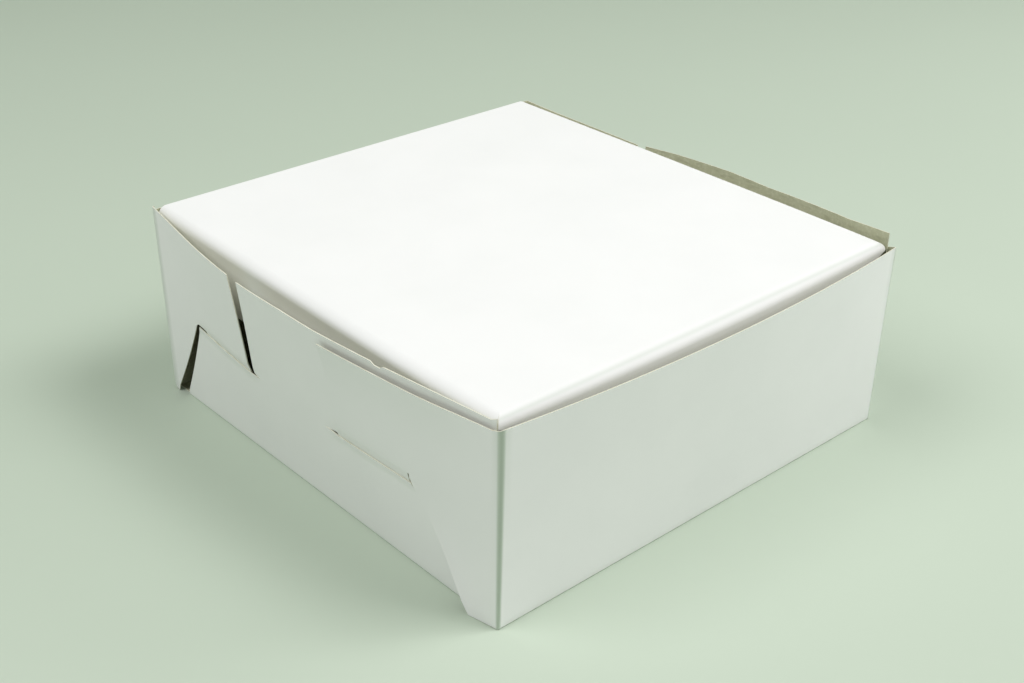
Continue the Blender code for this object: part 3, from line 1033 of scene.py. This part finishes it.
    def quarter_turn(self, past: float) -> tuple[float, float]:
        """Lays a point of a quarter fold.

        Args:
            past: How far the point lies past the fold's start, along the flat sheet.

        Returns:
            Its steps inward and onward from the start.
        """
        radius = self.board.fold_radius
        angle = min(past / radius, math.pi / 2)
        return radius * (1 - math.cos(angle)), radius * math.sin(angle)

    def round_fold(self, flat: float) -> tuple[float, float]:
        """Lays a point round the quarter fold at the end of a sheet's flat run, where it is past its start.

        Args:
            flat: Flat distance from the face that the fold turns into.

        Returns:
            Its step inward and its folded distance from that face.
        """
        radius = self.board.fold_radius
        if flat >= radius:
            return 0.0, flat
        inward, run = self.quarter_turn(radius - flat)
        return inward, radius - run

    def on_side(self, side: Side, offset: Offset, back: float, up: float) -> Vector:
        """Lays a point on a side, round the corner folds or under the base where it reaches them.

        Args:
            side: Which side.
            offset: How far outward the sheet lies.
            back: Distance behind the front corner.
            up: Height.

        Returns:
            The folded place.
        """
        radius, depth = self.board.fold_radius, self.box.depth
        inward, y = self.round_fold(back)
        z = up
        if back > depth - radius:
            inward, run = self.quarter_turn(back - depth + radius)
            y = depth - radius + run
        if offset == self.wall_offset and up < radius:
            inward, z = self.round_fold(up)
        out = self.side_face + offset(side, back, up) + self.side_bulge(side, back, up) - inward
        return Vector((side.value * out, self.box.front_face + y - self.front_lean(back, up), z))

    def corner_radius(self, up: float) -> float:
        """Radius of a front corner at a height, which opens towards its top."""
        foot, top = self.box.corner_radii
        return foot + (top - foot) * ramp(up, self.board.fold_radius, self.box.front_height)

    def on_front(self, across: float, up: float) -> Vector:
        """Lays a point on the front wall, or on its fold under the base."""
        inward, z = self.round_fold(up)
        return Vector((across, self.box.front_face - (self.front_bulge(across, up) - inward), z))

    def on_rear(self, across: float, up: float) -> Vector:
        """Lays a point on the rear wall, or on its fold under the base."""
        inward, z = self.round_fold(up)
        return Vector((across, self.box.rear_face + (self.rear_bulge(across, up) - inward), z))

    def on_front_corner(self, along: float, up: float) -> Vector | None:
        """Lays a point of the front sheet on the soft round of a corner.

        Args:
            along: Flat distance from the sheet's middle.
            up: Height.

        Returns:
            The folded place, or None for a point that is not on the round.
        """
        board, half, round_radius = self.board, self.box.width / 2, self.corner_radius(up)
        length = 2 * (round_radius - board.fold_radius) + board.quarter_fold
        share = (abs(along) - half + round_radius) / length
        if up < board.fold_radius or not 0 < share < 1:
            return None
        side = Side.of(along)
        first = self.on_front(side.value * (half - round_radius), up)
        last = self.on_side(side, self.front_ear_offset, round_radius, up)
        middle = Vector((last.x, first.y, up))
        return first.lerp(middle, share).lerp(middle.lerp(last, share), share)

    def on_front_sheet(self, along: float, up: float) -> Vector:
        """Lays a point of the sheet of the front wall and its ears.

        Args:
            along: Flat distance from the sheet's middle.
            up: Height.

        Returns:
            Its place on the wall, on a corner's round or on an ear.
        """
        on_round = self.on_front_corner(along, up)
        if on_round is not None:
            return on_round
        if abs(along) <= self.corner:
            return self.on_front(along, up)
        back = abs(along) - self.corner + self.board.fold_end
        return self.on_side(Side.of(along), self.front_ear_offset, back, up)

    def on_rear_sheet(self, along: float, up: float) -> Vector:
        """Lays a point of the sheet of the rear wall and its ears.

        Args:
            along: Flat distance from the sheet's middle.
            up: Height.

        Returns:
            Its place on the wall or on an ear.
        """
        if abs(along) <= self.corner:
            return self.on_rear(along, up)
        reach = abs(along) - self.corner + self.board.fold_end
        return self.on_side(Side.of(along), self.rear_ear_offset, self.box.depth - reach, up)

    def on_base_sheet(self, along: float, back: float) -> Vector:
        """Lays a point of the sheet of the base and the side walls.

        Args:
            along: Flat distance from the sheet's middle.
            back: Distance behind the front corner.

        Returns:
            Its place on the base or on a side wall.
        """
        if abs(along) <= self.base_edge:
            return Vector((along, self.box.front_face + back, 0))
        up = abs(along) - self.base_edge + self.board.fold_end
        return self.on_side(Side.of(along), self.wall_offset, back, up)

    # Bend lines

    def heights(self) -> list[float]:
        """Level bend lines of the walls, the ears and their folds under the base.

        Returns:
            Height of each line.
        """
        line, run = self.front.line_height, self.front.passage
        heights = places_between(0, self.box.lid_height, self.board.bend_pitch)
        heights += [line - run, line - run / 2, line, line + run / 2, line + run]
        return heights + self.fold(self.board.fold_radius, -1)

    def fold(self, start: float, towards: int) -> list[float]:
        """Bend lines round a quarter fold.

        Args:
            start: Where it starts on the flat sheet.
            towards: 1 or -1, for the direction in which it runs.

        Returns:
            Place of each line.
        """
        facets = self.board.fold_facets
        length = self.board.quarter_fold
        return [start + towards * length * step / facets for step in range(facets + 1)]

    def rear_cuts(self, back_to_flat: Callable[[float], float]) -> list[Bend]:
        """Bend lines along the sloping knife line of the rear lock and its passage.

        Args:
            back_to_flat: Turns a distance behind the front corner into the sheet's own coordinate.

        Returns:
            The bend lines.
        """
        cut, depth = self.rear, self.box.depth
        low = Vector((back_to_flat(depth - cut.slit_reach), cut.slit_height))
        high = Vector((back_to_flat(depth - cut.line_reach), cut.line_height))
        across = (high - low).orthogonal()
        run = self.front.passage
        shifts = (-run, -run / 2, 0, run / 2, run)
        return [((low.x, low.y + shift), (across.x, across.y)) for shift in shifts]

    # The three sheets

    def front_ear_cut(self) -> list[Point]:
        """Outline of a front ear as (back, up).

        Returns:
            The outline, from the foot round the tongue to the corner's top.
        """
        cut, half_cut, fold_end = self.front, self.board.half_cut, self.board.fold_end
        tongue_front = (self.lip_back(cut.tongue_low) + self.board.knife_cut + half_cut, cut.tongue_low)
        tongue_end = (cut.ear_length, cut.tongue_low)
        free_end = (cut.ear_length, cut.line_height)
        top = self.box.front_height
        return [
            (fold_end, self.board.clearance),
            (cut.foot_length, self.board.clearance),
            (cut.foot_knee_back, cut.foot_knee_height),
            (cut.lip_top_back, cut.lip_top_height),
            (cut.slit_start - half_cut - cut.hook_widening, cut.line_height),
            (cut.slit_start - half_cut - cut.hook_widening, cut.hook_height),
            (cut.slit_start + half_cut, cut.hook_height),
            (cut.slit_start + half_cut, cut.line_height - half_cut),
            (cut.lip_top_back + self.board.knife_cut + half_cut, cut.lip_top_height - half_cut),
            tongue_front,
            *rounded(tongue_end, tongue_front, free_end, cut.tongue_corner),
            free_end,
            (cut.ear_length, top - cut.ear_tip_drop),
            (cut.ear_middle_back, top - cut.ear_middle_drop),
            (cut.ear_neck_back, top - cut.ear_neck_drop),
            (fold_end, top),
        ]

    def rear_ear_cut(self, side: Side) -> list[Point]:
        """Outline of a rear ear as (reach, up), with a wide slot for a slit, because it is pulled open.

        Args:
            side: Which side.

        Returns:
            The outline, from the foot round the tongue to the corner's top.
        """
        cut = self.rear
        tip, heel = (cut.tongue_reach, cut.tongue_low), (cut.slot_reach, cut.tongue_low)
        neck = (cut.tongue_reach, cut.slit_height - self.board.knife_cut)
        slot_top = (cut.slot_reach, cut.line_height)
        return [
            (self.board.fold_end, cut.corner_lift),
            (cut.foot_reach - self.board.fold_radius, self.board.clearance),
            (cut.foot_reach, cut.foot_height),
            (cut.lip_reach, cut.line_height),
            (cut.line_reach, cut.line_height + cut.slot_top / 2),
            slot_top,
            *rounded(heel, slot_top, tip, cut.tongue_corner),
            *rounded(tip, heel, neck, cut.tongue_corner),
            neck,
            (cut.ear_neck_reach, cut.slit_height + self.front.passage),
            (cut.ear_top_reach, self.box.front_height + cut.ear_top_rise[side.index]),
            (self.board.fold_end, self.box.front_height + self.box.rear_corner_rise[side.index]),
        ]

    def top_edge(self, side: Side) -> list[Point]:
        """Top edge of a side wall as (back, up).

        Args:
            side: Which side.

        Returns:
            The edge, from the rear lock forward to the tip behind the front corner.
        """
        cut, rear_end = self.wall, self.box.depth - self.wall.rear_top_reach
        nick = cut.rise - cut.nick_depth
        rises = [
            (rear_end, cut.rear_rise),
            (cut.rear_rise_end, cut.rear_rise),
            (cut.rear_rise_start, cut.rise),
            (cut.nick_rear, cut.rise),
            (cut.nick_rear - cut.nick_slope, nick),
            (cut.nick_front + cut.nick_slope, nick),
            (cut.nick_front, cut.rise),
            (cut.neck_back, cut.neck_rise),
            (cut.tip_back, cut.tip_rise),
        ]
        if side is Side.RIGHT:
            crest = [cut.right_shoulder, cut.right_crest, cut.right_dip, cut.right_slope]
            rises = [(rear_end, cut.right_rear_rise), *crest, (cut.tip_back, cut.right_tip_rise)]
        return [(back, self.box.front_height + rise) for back, rise in rises]

    def side_wall_cut(self, side: Side) -> list[Point]:
        """Outline of a side wall as (back, up).

        Args:
            side: Which side.

        Returns:
            The outline, from the base crease round the top edge to the front fork.
        """
        cut, half_cut, depth = self.wall, self.board.half_cut, self.box.depth
        front, rear = self.front, self.rear
        hook = half_cut + front.hook_widening
        rear_foot = depth - cut.crease_rear_reach
        return [
            (rear_foot, self.board.fold_end),
            (rear_foot, cut.crease_height),
            (depth - rear.line_reach, rear.line_height - half_cut),
            (depth - rear.slit_reach, rear.slit_height),
            (depth - cut.rear_low_reach, rear.slit_height + self.board.knife_cut + half_cut),
            *self.top_edge(side),
            (cut.tip_back, cut.upper_tongue_low),
            (front.slit_start - hook, front.hook_height + half_cut),
            (front.slit_start + hook, front.hook_height + half_cut),
            (front.slit_start + hook, front.line_height + half_cut),
            (front.slit_end, front.line_height),
            (cut.shoulder_back, front.line_height - half_cut),
            (cut.cheek_back, cut.cheek_height),
            (cut.tongue_end_back, cut.tongue_end_height),
            (cut.crease_front, cut.crease_height),
            (cut.crease_front, self.board.fold_end),
        ]

    def corner_shade_mark(self, width: Callable[[float], float]) -> Callable[[Vector], float]:
        """Marks where the corner folds and the foot fold of a flat front or rear sheet are painted darker:
        partly crushed fibres, partly painted shade.

        Args:
            width: Half the width of a corner's mark at a height.

        Returns:
            The function that marks it.
        """
        board = self.board
        middle = self.corner + board.quarter_fold / 2
        foot = (board.fold_radius + board.fold_end) / 2

        def mark_at(flat: Vector) -> float:
            """The mark of a point of the flat sheet, the stronger of the two folds' marks."""
            at_corner = nearness(abs(flat.x) - middle, width(flat.y), board.corner_shade_falloff)
            return max(at_corner, board.foot_crease_shade * nearness(flat.y - foot, board.crease_shade_reach))

        return mark_at

    def build_front(self) -> bpy.types.Object:
        """Builds the front wall and its two ears as one sheet, folded round the two front corners.

        Returns:
            The piece.
        """
        board, corner, cut = self.board, self.corner, self.front
        ear = [(corner + back - board.fold_end, up) for back, up in self.front_ear_cut()]
        half = [(corner, board.fold_end), *ear]
        slit = corner + board.quarter_fold + cut.slit_start - board.fold_radius
        far = corner + cut.ear_length - board.fold_end
        open_radius = self.box.corner_radii[1]
        first = self.box.width / 2 - open_radius
        last = first + 2 * (open_radius - board.fold_radius) + board.quarter_fold
        around = [first, *places_between(first, last, board.corner_pitch), last, corner, slit]
        around += places_between(corner + board.quarter_fold, far, board.bend_pitch)
        places = [*places_between(-corner, corner, board.bend_pitch), 0.0, *mirrored(around)]
        # The painted corner shade widens towards the top, with the corner's round.
        mark = self.corner_shade_mark(lambda up: board.crease_shade_width_share * self.corner_radius(up))
        sheet = Sheet.cut(joined(half, half), upright(places) + level(self.heights())).mark(mark)
        sheet.lay(self.on_front_sheet).face(Vector((0, -1, 0))).thicken(board)
        made = sheet.piece("front_wall_and_ears", self.finishes)
        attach(made, "tray")
        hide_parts("front_wall", "front_left_ear", "front_right_ear")
        return made

    def build_rear(self) -> bpy.types.Object:
        """Builds the rear wall and its two ears as one sheet, folded round the two rear corners.

        Returns:
            The piece.
        """
        board, corner = self.board, self.corner
        top = self.box.lid_height - board.thickness / 2 - self.box.hinge_gap
        halves = []
        for side in (Side.RIGHT, Side.LEFT):
            ear = [(corner + reach - board.fold_end, up) for reach, up in self.rear_ear_cut(side)]
            halves.append([(corner, board.fold_end), *ear, (corner, top)])
        far = corner + self.rear.tongue_reach - board.fold_end
        around = self.fold(corner, 1)
        around += places_between(corner + board.quarter_fold, far, board.bend_pitch)
        around += [corner - row for row in self.corner_rows]
        places = [*places_between(-corner, corner, board.bend_pitch), 0.0, *mirrored(around)]
        bends = upright(places) + level(self.heights())
        for sign in (1, -1):
            bends += self.rear_cuts(lambda back: sign * (corner + self.box.depth - back - board.fold_end))
        mark = self.corner_shade_mark(lambda up: board.crease_shade_reach)
        sheet = Sheet.cut(joined(*halves), bends).mark(mark)
        sheet.lay(self.on_rear_sheet).face(Vector((0, 1, 0))).thicken(board)
        made = sheet.piece("rear_wall_and_ears", self.finishes)
        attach(made, "tray")
        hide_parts("rear_wall", "rear_left_ear", "rear_right_ear")
        return made

    def build_base_and_sides(self) -> bpy.types.Object:
        """Builds the base and the two side walls as one sheet, folded up along the two base creases.

        Returns:
            The piece.
        """
        board, edge = self.board, self.base_edge
        front, rear = board.fold_radius, self.box.depth - board.fold_radius
        halves = []
        for side in (Side.RIGHT, Side.LEFT):
            wall = [(edge + up - board.fold_end, back) for back, up in self.side_wall_cut(side)]
            halves.append([(edge, rear), *wall, (edge, front)])
        risers = [edge + up - board.fold_end for up in self.heights()]
        backs = places_between(0, self.box.depth, board.bend_pitch)
        backs += [self.front.ear_length, self.front.slit_start, self.box.depth - self.rear.tongue_reach]
        bends = upright([*mirrored(risers), *self.base_rows]) + level(backs)
        for (back, up), (normal_back, normal_up) in self.rear_cuts(lambda back: back):
            flat = edge + up - board.fold_end
            for sign in (1, -1):
                bends.append(((sign * flat, back), (sign * normal_up, normal_back)))
        middle, reach = edge + board.quarter_fold / 2, board.crease_shade_reach
        sheet = Sheet.cut(joined(*halves), bends)
        # A faint darker line painted along both base creases: partly crushed fibres, partly painted shade.
        sheet.mark(lambda flat: board.foot_crease_shade * nearness(abs(flat.x) - middle, reach))
        sheet.lay(self.on_base_sheet).face(Vector((0, 0, -1))).thicken(board)
        made = sheet.piece("base_and_side_walls", self.finishes)
        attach(made, "tray")
        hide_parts("base_panel", "left_side_wall", "right_side_wall")
        return made

    def build(self) -> list[bpy.types.Object]:
        """Builds the whole tray, and returns its pieces."""
        return [self.build_front(), self.build_rear(), self.build_base_and_sides()]


@dataclass
class Lid:
    """The lid, its three tuck flaps and the soft folds that bend between them."""

    board: Board
    box: BoxSizes
    finishes: BoardFinishes
    cut: FlapCut = field(default_factory=FlapCut)
    side_inset: float = 0.0028
    front_inset: float = 0.0013
    front_drop: float = 0.0038
    fold_radius: float = 0.0045
    fold_facets: int = 16
    front_bow: float = 0.0027
    front_bow_depth: float = 0.009
    side_bow: float = 0.0021
    side_bow_depth: float = 0.003
    side_bow_share: float = 0.30
    side_bow_fall: float = 0.40
    bow_share: float = 0.75
    top_rows: tuple[float, ...] = (0.0008, 0.0016, 0.0025, 0.0035, 0.005, 0.0075)
    hinge_facets: int = 7
    hinge_step: float = 0.000025
    strip_pitch: float = 0.006
    # A darker line painted just under the start of the front fold dims its highlight as painted shade; the
    # hinge fold is painted darker all over by the same share.
    score_shade_width: float = 0.0006
    score_shade_strength: float = 0.38
    score_shade_drop: float = 0.0011

    @property
    def half_width(self) -> float:
        """Outer face of a side flap."""
        return self.box.width / 2 - self.side_inset

    @property
    def front_edge(self) -> float:
        """Outer face of the front flap at its crease."""
        return self.box.front_face + self.board.thickness + self.front_inset

    @property
    def hinge(self) -> Vector:
        """A point on the hinge crease."""
        half = self.board.thickness / 2
        return Vector((0, self.box.rear_face - half, self.box.lid_height - half))

    @property
    def rear_edge(self) -> float:
        """Rear end of the flat lid."""
        return self.hinge.y - self.box.hinge_gap

    @property
    def tilt(self) -> Matrix:
        """Turns the level lid about its hinge crease until its front edge has dropped.

        Returns:
            The turn.
        """
        fall = math.asin(self.front_drop / (self.hinge.y - self.front_edge))
        place = Matrix.Translation(self.hinge)
        return place @ Matrix.Rotation(fall, 4, "X") @ place.inverted()

    def fold_reach(self, lean: float) -> float:
        """How far a soft fold reaches from its crease, on the lid and on a flap that leans in."""
        return (self.fold_radius - self.board.thickness) * (1 + math.sin(lean)) / math.cos(lean)

    @property
    def flat_half_width(self) -> float:
        """Half the width of the lid between its soft folds."""
        return self.half_width - self.fold_radius

    @property
    def flat_front(self) -> float:
        """Front end of the lid, where its soft fold starts."""
        return self.front_edge + self.board.thickness + self.fold_reach(self.cut.front_lean)

    def bowed_front(self, place: Vector) -> Vector:
        """Bows a point of the front flap or its fold out towards the slack wall, most just under the fold.

        Args:
            place: The point before the bow.

        Returns:
            The bowed point.
        """
        depth = max(self.box.lid_height - place.z, 0) / self.front_bow_depth
        across = max(1 - (place.x / self.half_width) ** 2, 0)
        return place - Vector((0, self.front_bow * across * depth * math.exp(1 - depth), 0))

    def bowed_side(self, side: Side, place: Vector) -> Vector:
        """Bows a point of a side flap or its fold out towards the slack side wall, without touching it.

        Args:
            side: Which side.
            place: The point before the bow.

        Returns:
            The bowed point.
        """
        depth = max(self.box.lid_height - place.z, 0) / self.side_bow_depth
        to_rear = ramp(place.y, self.front_edge, self.rear_edge)
        phase = (1 - to_rear) * (1 - self.side_bow_share * to_rear)
        bow = self.side_bow * math.sqrt(math.sin(math.pi * phase)) * (1 - self.side_bow_fall * to_rear)
        room = self.side_room(side, place.y - self.box.front_face)
        return place + Vector((side.value * min(bow, room) * depth * math.exp(1 - depth), 0, 0))

    def side_room(self, side: Side, back: float) -> float:
        """How far a side flap may bow before it nears the slack side wall."""
        forward = 1 - ramp(back, 0, self.box.depth)
        return self.bow_share * max(self.box.top_bulge(side, forward), 0)

    def tilted(self, sheet: Sheet, name: str) -> bpy.types.Object:
        """Tilts a laid sheet with the lid and makes it a piece."""
        sheet.mesh.transform(self.tilt)
        return sheet.thicken(self.board).piece(name, self.finishes)

    def build_top(self) -> bpy.types.Object:
        """Builds the lid's flat top, between its four folds.

        Returns:
            The piece.
        """
        side, front, rear = self.flat_half_width, self.flat_front, self.rear_edge
        outline = [(-side, front), (side, front), (side, rear), (-side, rear)]
        pitch = self.strip_pitch
        bends = upright(places_between(-side, side, pitch)) + level(places_between(front, rear, pitch))
        sheet = Sheet.cut(outline, bends).lay(lambda x, y: Vector((x, y, self.box.lid_height)))
        made = self.tilted(sheet.face(Vector((0, 0, 1))), "lid_top")
        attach(made, "lid")
        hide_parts("lid_panel")
        return made

    def build_flap(
        self, outline: list[Point], side: str, place: Place, outward: Vector
    ) -> bpy.types.Object:
        """Builds a tuck flap.

        Args:
            outline: Flat outline, with the crease at up = 0.
            side: Word for its place in the names.
            place: Gives the folded place of a flat point.
            outward: Direction that its coated side faces.

        Returns:
            The piece.
        """
        along, ups = zip(*outline)
        bends = upright(places_between(min(along), max(along), self.strip_pitch))
        bends += level(places_between(min(ups), max(ups), self.strip_pitch))
        bends += level(max(ups) - row for row in self.top_rows)
        made = self.tilted(Sheet.cut(outline, bends).lay(place).face(outward), f"{side}_tuck_flap")
        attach(made, f"{side}_flap")
        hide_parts(f"lid_{side}_flap")
        return made

    def build_front_flap(self) -> bpy.types.Object:
        """Builds the front tuck flap, leaning in behind the front wall.

        Returns:
            The piece.
        """
        cut, thickness = self.cut, self.board.thickness
        half = self.half_width - cut.front_margin
        top, low = -self.fold_reach(cut.front_lean), -cut.front_depth
        inset = cut.front_depth * math.tan(cut.front_taper)
        shoulder = self.half_width - cut.top_margin
        left = rounded((inset - half, low), (-half, 0), (0, low), cut.front_corner)
        left = [(-shoulder, top), (cut.top_run * math.tan(cut.front_taper) - half, -cut.top_run), *left]
        crease = Vector((0, self.front_edge + thickness, self.box.lid_height - thickness))
        turn = Matrix.Rotation(math.pi / 2 + cut.front_lean, 4, "X")
        lay = Matrix.Translation(crease) @ turn @ Matrix.Translation((0, 0, thickness))
        return self.build_flap(
            joined(left, left),
            "front",
            lambda along, up: self.bowed_front(lay @ Vector((along, up, 0))),
            Vector((0, -1, 0)),
        )

    def build_side_flap(self, side: Side) -> bpy.types.Object:
        """Builds a side tuck flap, cut back at its front end.

        Args:
            side: Which side.

        Returns:
            The piece.
        """
        cut = self.cut
        under, low = self.box.lid_height - self.board.thickness, -cut.side_depth
        top = -self.fold_reach(0)
        front = self.front_edge + cut.side_front_margin
        rear = self.rear_edge - cut.side_rear_margin
        low_front = (front + cut.side_depth * math.tan(cut.side_front_taper), low)
        low_rear = (rear - cut.side_depth * math.tan(cut.side_rear_taper), low)
        outline = [
            (rear - cut.top_run * math.tan(cut.side_rear_taper), -cut.top_run),
            (self.rear_edge - cut.top_margin, top),
            (self.front_edge + 2 * cut.top_margin, top),
            (front + cut.top_run * math.tan(cut.side_front_taper), -cut.top_run),
        ]
        outline += rounded(low_front, (front, 0), low_rear, cut.side_corner)
        outline += rounded(low_rear, low_front, (rear, 0), cut.side_corner)
        face = side.value * self.half_width
        return self.build_flap(
            outline,
            side.name.lower(),
            lambda along, up: self.bowed_side(side, Vector((face, along, under + up))),
            Vector((side.value, 0, 0)),
        )

    def build_fold(
        self, name: str, ends: tuple[Vector, Vector], lean: float, bow: Callable[[Vector], Vector]
    ) -> bpy.types.Object:
        """Builds the soft fold between the lid and a flap, mitred where it meets its neighbour.

        Args:
            name: Word for its place in the names.
            ends: Ends of the lid's edge, in the direction about which the fold turns right-handed.
            lean: How far the flap leans in past a right angle.
            bow: Bows a point of the fold.

        Returns:
            The piece.
        """
        outward = (ends[1] - ends[0]).normalized().cross(Vector((0, 0, 1)))
        sweep = math.pi / 2 + lean
        sheet = Sheet.swept(ends, self.fold_radius, sweep, self.fold_facets, self.strip_pitch)
        for direction in (-1, 1):
            corner = Vector((direction * self.flat_half_width, self.flat_front, 0))
            if round(outward.y):
                sheet.slice(corner, Vector((direction, 1, 0)), True)
            elif direction == round(outward.x):
                sheet.slice(corner, Vector((-direction, -1, 0)), True)
        # Paints the shade line only on the front fold; the side folds get none.
        top, depth = self.box.lid_height - self.score_shade_drop, self.score_shade_strength * abs(outward.y)
        sheet.mark(lambda place: depth * nearness(top - place.z, self.score_shade_width))
        for vert in sheet.mesh.verts:
            vert.co = bow(vert.co)
        made = self.tilted(sheet.face(outward + Vector((0, 0, 1))), f"lid_{name}_fold")
        start = self.tilt @ ends[0]
        end = self.tilt @ (ends[0] + (outward - Vector((0, 0, 1))) * self.fold_radius)
        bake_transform(made)
        return made

    def build_folds(self) -> list[bpy.types.Object]:
        """Builds the three soft folds.

        Returns:
            The pieces.
        """
        side, reach, top = self.flat_half_width, self.fold_radius, self.box.lid_height
        front, rear = self.flat_front, self.rear_edge
        across = (Vector((-side - reach, front, top)), Vector((side + reach, front, top)))
        right = (Vector((side, front - reach, top)), Vector((side, rear, top)))
        left = (Vector((-side, rear, top)), Vector((-side, front - reach, top)))
        return [
            self.build_fold("front", across, self.cut.front_lean, self.bowed_front),
            self.build_fold("right", right, 0, lambda place: self.bowed_side(Side.RIGHT, place)),
            self.build_fold("left", left, 0, lambda place: self.bowed_side(Side.LEFT, place)),
        ]

    def build_hinge(self) -> bpy.types.Object:
        """Builds the hinge crease between the rear wall and the lid.

        Returns:
            The piece.
        """
        gap, half = self.box.hinge_gap, self.board.thickness / 2
        radius = gap + half
        reach = self.flat_half_width + gap
        ends = tuple(Vector((sign * reach, self.rear_edge, self.box.lid_height)) for sign in (1, -1))
        sheet = Sheet.swept(ends, radius, math.pi / 2, self.hinge_facets, self.strip_pitch)
        # Paints the whole hinge fold darker by the score line's share.
        sheet.mark(lambda place: self.score_shade_strength)
        sheet.face(Vector((0, 1, 1)))
        made = sheet.thicken(self.board).piece("lid_hinge_fold", self.finishes)
        middle = Vector((0, self.rear_edge, self.box.lid_height - radius))
        middle += Vector((0, 1, 1)).normalized() * radius
        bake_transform(made)
        return made

    def build(self) -> list[bpy.types.Object]:
        """Builds the whole lid.

        Returns:
            Its pieces.
        """
        return [
            self.build_top(),
            self.build_front_flap(),
            *[self.build_side_flap(side) for side in Side],
            *self.build_folds(),
            self.build_hinge(),
        ]


@dataclass(frozen=True)
class Lamp:
    """A soft square lamp: where it hangs, the length of its sides and its power in watts."""

    name: str
    place: tuple[float, float, float]
    size: float
    power: float


@dataclass(frozen=True)
class Studio:
    """Pale floor that curves up into a backdrop, soft lamps and the camera."""

    floor_finish: FloorFinish = FloorFinish()
    floor_reach: float = 12.0
    floor_depth: float = 14.0
    curve_facets: int = 9
    curve_facet: float = 0.1
    backdrop_height: float = 6.0
    camera_place: tuple[float, float, float] = (-0.42716, -0.4798, 0.38896)
    camera_turn: float = math.radians(41.28)
    camera_drop: float = math.radians(28.62)
    clip_start: float = 0.02
    focal_share: float = 1.39087
    sensor: float = 36.0
    ambient: float = 0.243
    ambient_colour: Colour = (0.90, 1.0, 0.88, 1.0)
    lamp_colour: tuple[float, float, float] = (1.0, 0.975, 0.995)
    lamp_aim: tuple[float, float, float] = (0.0, 0.0, 0.05)
    lamps: tuple[Lamp, ...] = (
        Lamp("key_lamp", place=(0.92, -1.22, 2.15), size=1.2, power=36.2),
        Lamp("left_lamp", place=(-1.1, 0.35, 1.7), size=1.2, power=18.3),
        Lamp("front_lamp", place=(1.15, -0.7, 0.8), size=0.8, power=5.4),
    )

    def build_floor(self) -> bpy.types.Object:
        """Builds the floor and backdrop as one swept sheet.

        Returns:
            The floor.
        """
        mesh = bmesh.new()
        near = [mesh.verts.new((sign * self.floor_reach, -self.floor_reach, 0)) for sign in (-1, 1)]
        strip = [mesh.edges.new(near)]
        moves = [Vector((0, self.floor_depth, 0))]
        for facet in range(self.curve_facets):
            angle = math.pi / 2 * (facet + 0.5) / self.curve_facets
            moves.append(Vector((0, math.cos(angle), math.sin(angle))) * self.curve_facet)
        for move in [*moves, Vector((0, 0, self.backdrop_height))]:
            grown = bmesh.ops.extrude_edge_only(mesh, edges=strip)["geom"]
            strip = [part for part in grown if isinstance(part, bmesh.types.BMEdge)]
            ends = [part for part in grown if isinstance(part, bmesh.types.BMVert)]
            bmesh.ops.translate(mesh, verts=ends, vec=move)
        mesh.transform(Matrix.Rotation(-self.camera_turn, 4, "Z"))
        for face in mesh.faces:
            face.smooth = True
        data = bpy.data.meshes.new("floor")
        mesh.to_mesh(data)
        mesh.free()
        data.materials.append(self.floor_finish.material())
        floor = bpy.data.objects.new("floor", data)
        bpy.context.scene.collection.objects.link(floor)
        return floor

    def hang(self, lamp: Lamp) -> None:
        """Hangs a lamp.

        Args:
            lamp: The lamp.
        """
        light = bpy.data.lights.new(lamp.name, "AREA")
        light.shape = "SQUARE"
        light.size = lamp.size
        light.energy = lamp.power
        light.color = self.lamp_colour
        made = bpy.data.objects.new(lamp.name, light)
        made.location = lamp.place
        aim = Vector(self.lamp_aim) - Vector(lamp.place)
        made.rotation_euler = aim.to_track_quat("-Z", "Y").to_euler()
        bpy.context.scene.collection.objects.link(made)

    def build_lights(self) -> None:
        """Hangs the lamps and sets the world's even light."""
        for lamp in self.lamps:
            self.hang(lamp)
        world = bpy.data.worlds.new("studio")
        world.use_nodes = True
        back = world.node_tree.nodes["Background"]
        back.inputs["Color"].default_value = self.ambient_colour
        back.inputs["Strength"].default_value = self.ambient
        bpy.context.scene.world = world

    def build_camera(self) -> None:
        """Sets the camera at the photographed angle."""
        data = bpy.data.cameras.new("camera")
        data.sensor_width = self.sensor
        data.lens = self.focal_share * self.sensor
        data.clip_start = self.clip_start
        camera = bpy.data.objects.new("camera", data)
        camera.location = self.camera_place
        camera.rotation_euler = (math.pi / 2 - self.camera_drop, 0, -self.camera_turn)
        bpy.context.scene.collection.objects.link(camera)
        bpy.context.scene.camera = camera

    def build(self) -> list[bpy.types.Object]:
        """Builds the whole studio.

        Returns:
            The floor, the one object here with a mesh.
        """
        floor = self.build_floor()
        self.build_lights()
        self.build_camera()
        bpy.context.scene.view_settings.view_transform = "Standard"
        return [floor]


def main() -> None:
    """Builds the dressed box and its studio, and reports each piece."""
    logging.basicConfig(level=logging.INFO, format="%(name)s %(message)s")
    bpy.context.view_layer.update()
    board, box, finishes = Board(), BoxSizes(), BoardFinishes()
    for assembly in (Tray(board, box, finishes), Lid(board, box, finishes), Studio()):
        for made in assembly.build():
            LOG.info("%s has %d faces", made.name, len(made.data.polygons))


if __name__ == "__main__":
    main()
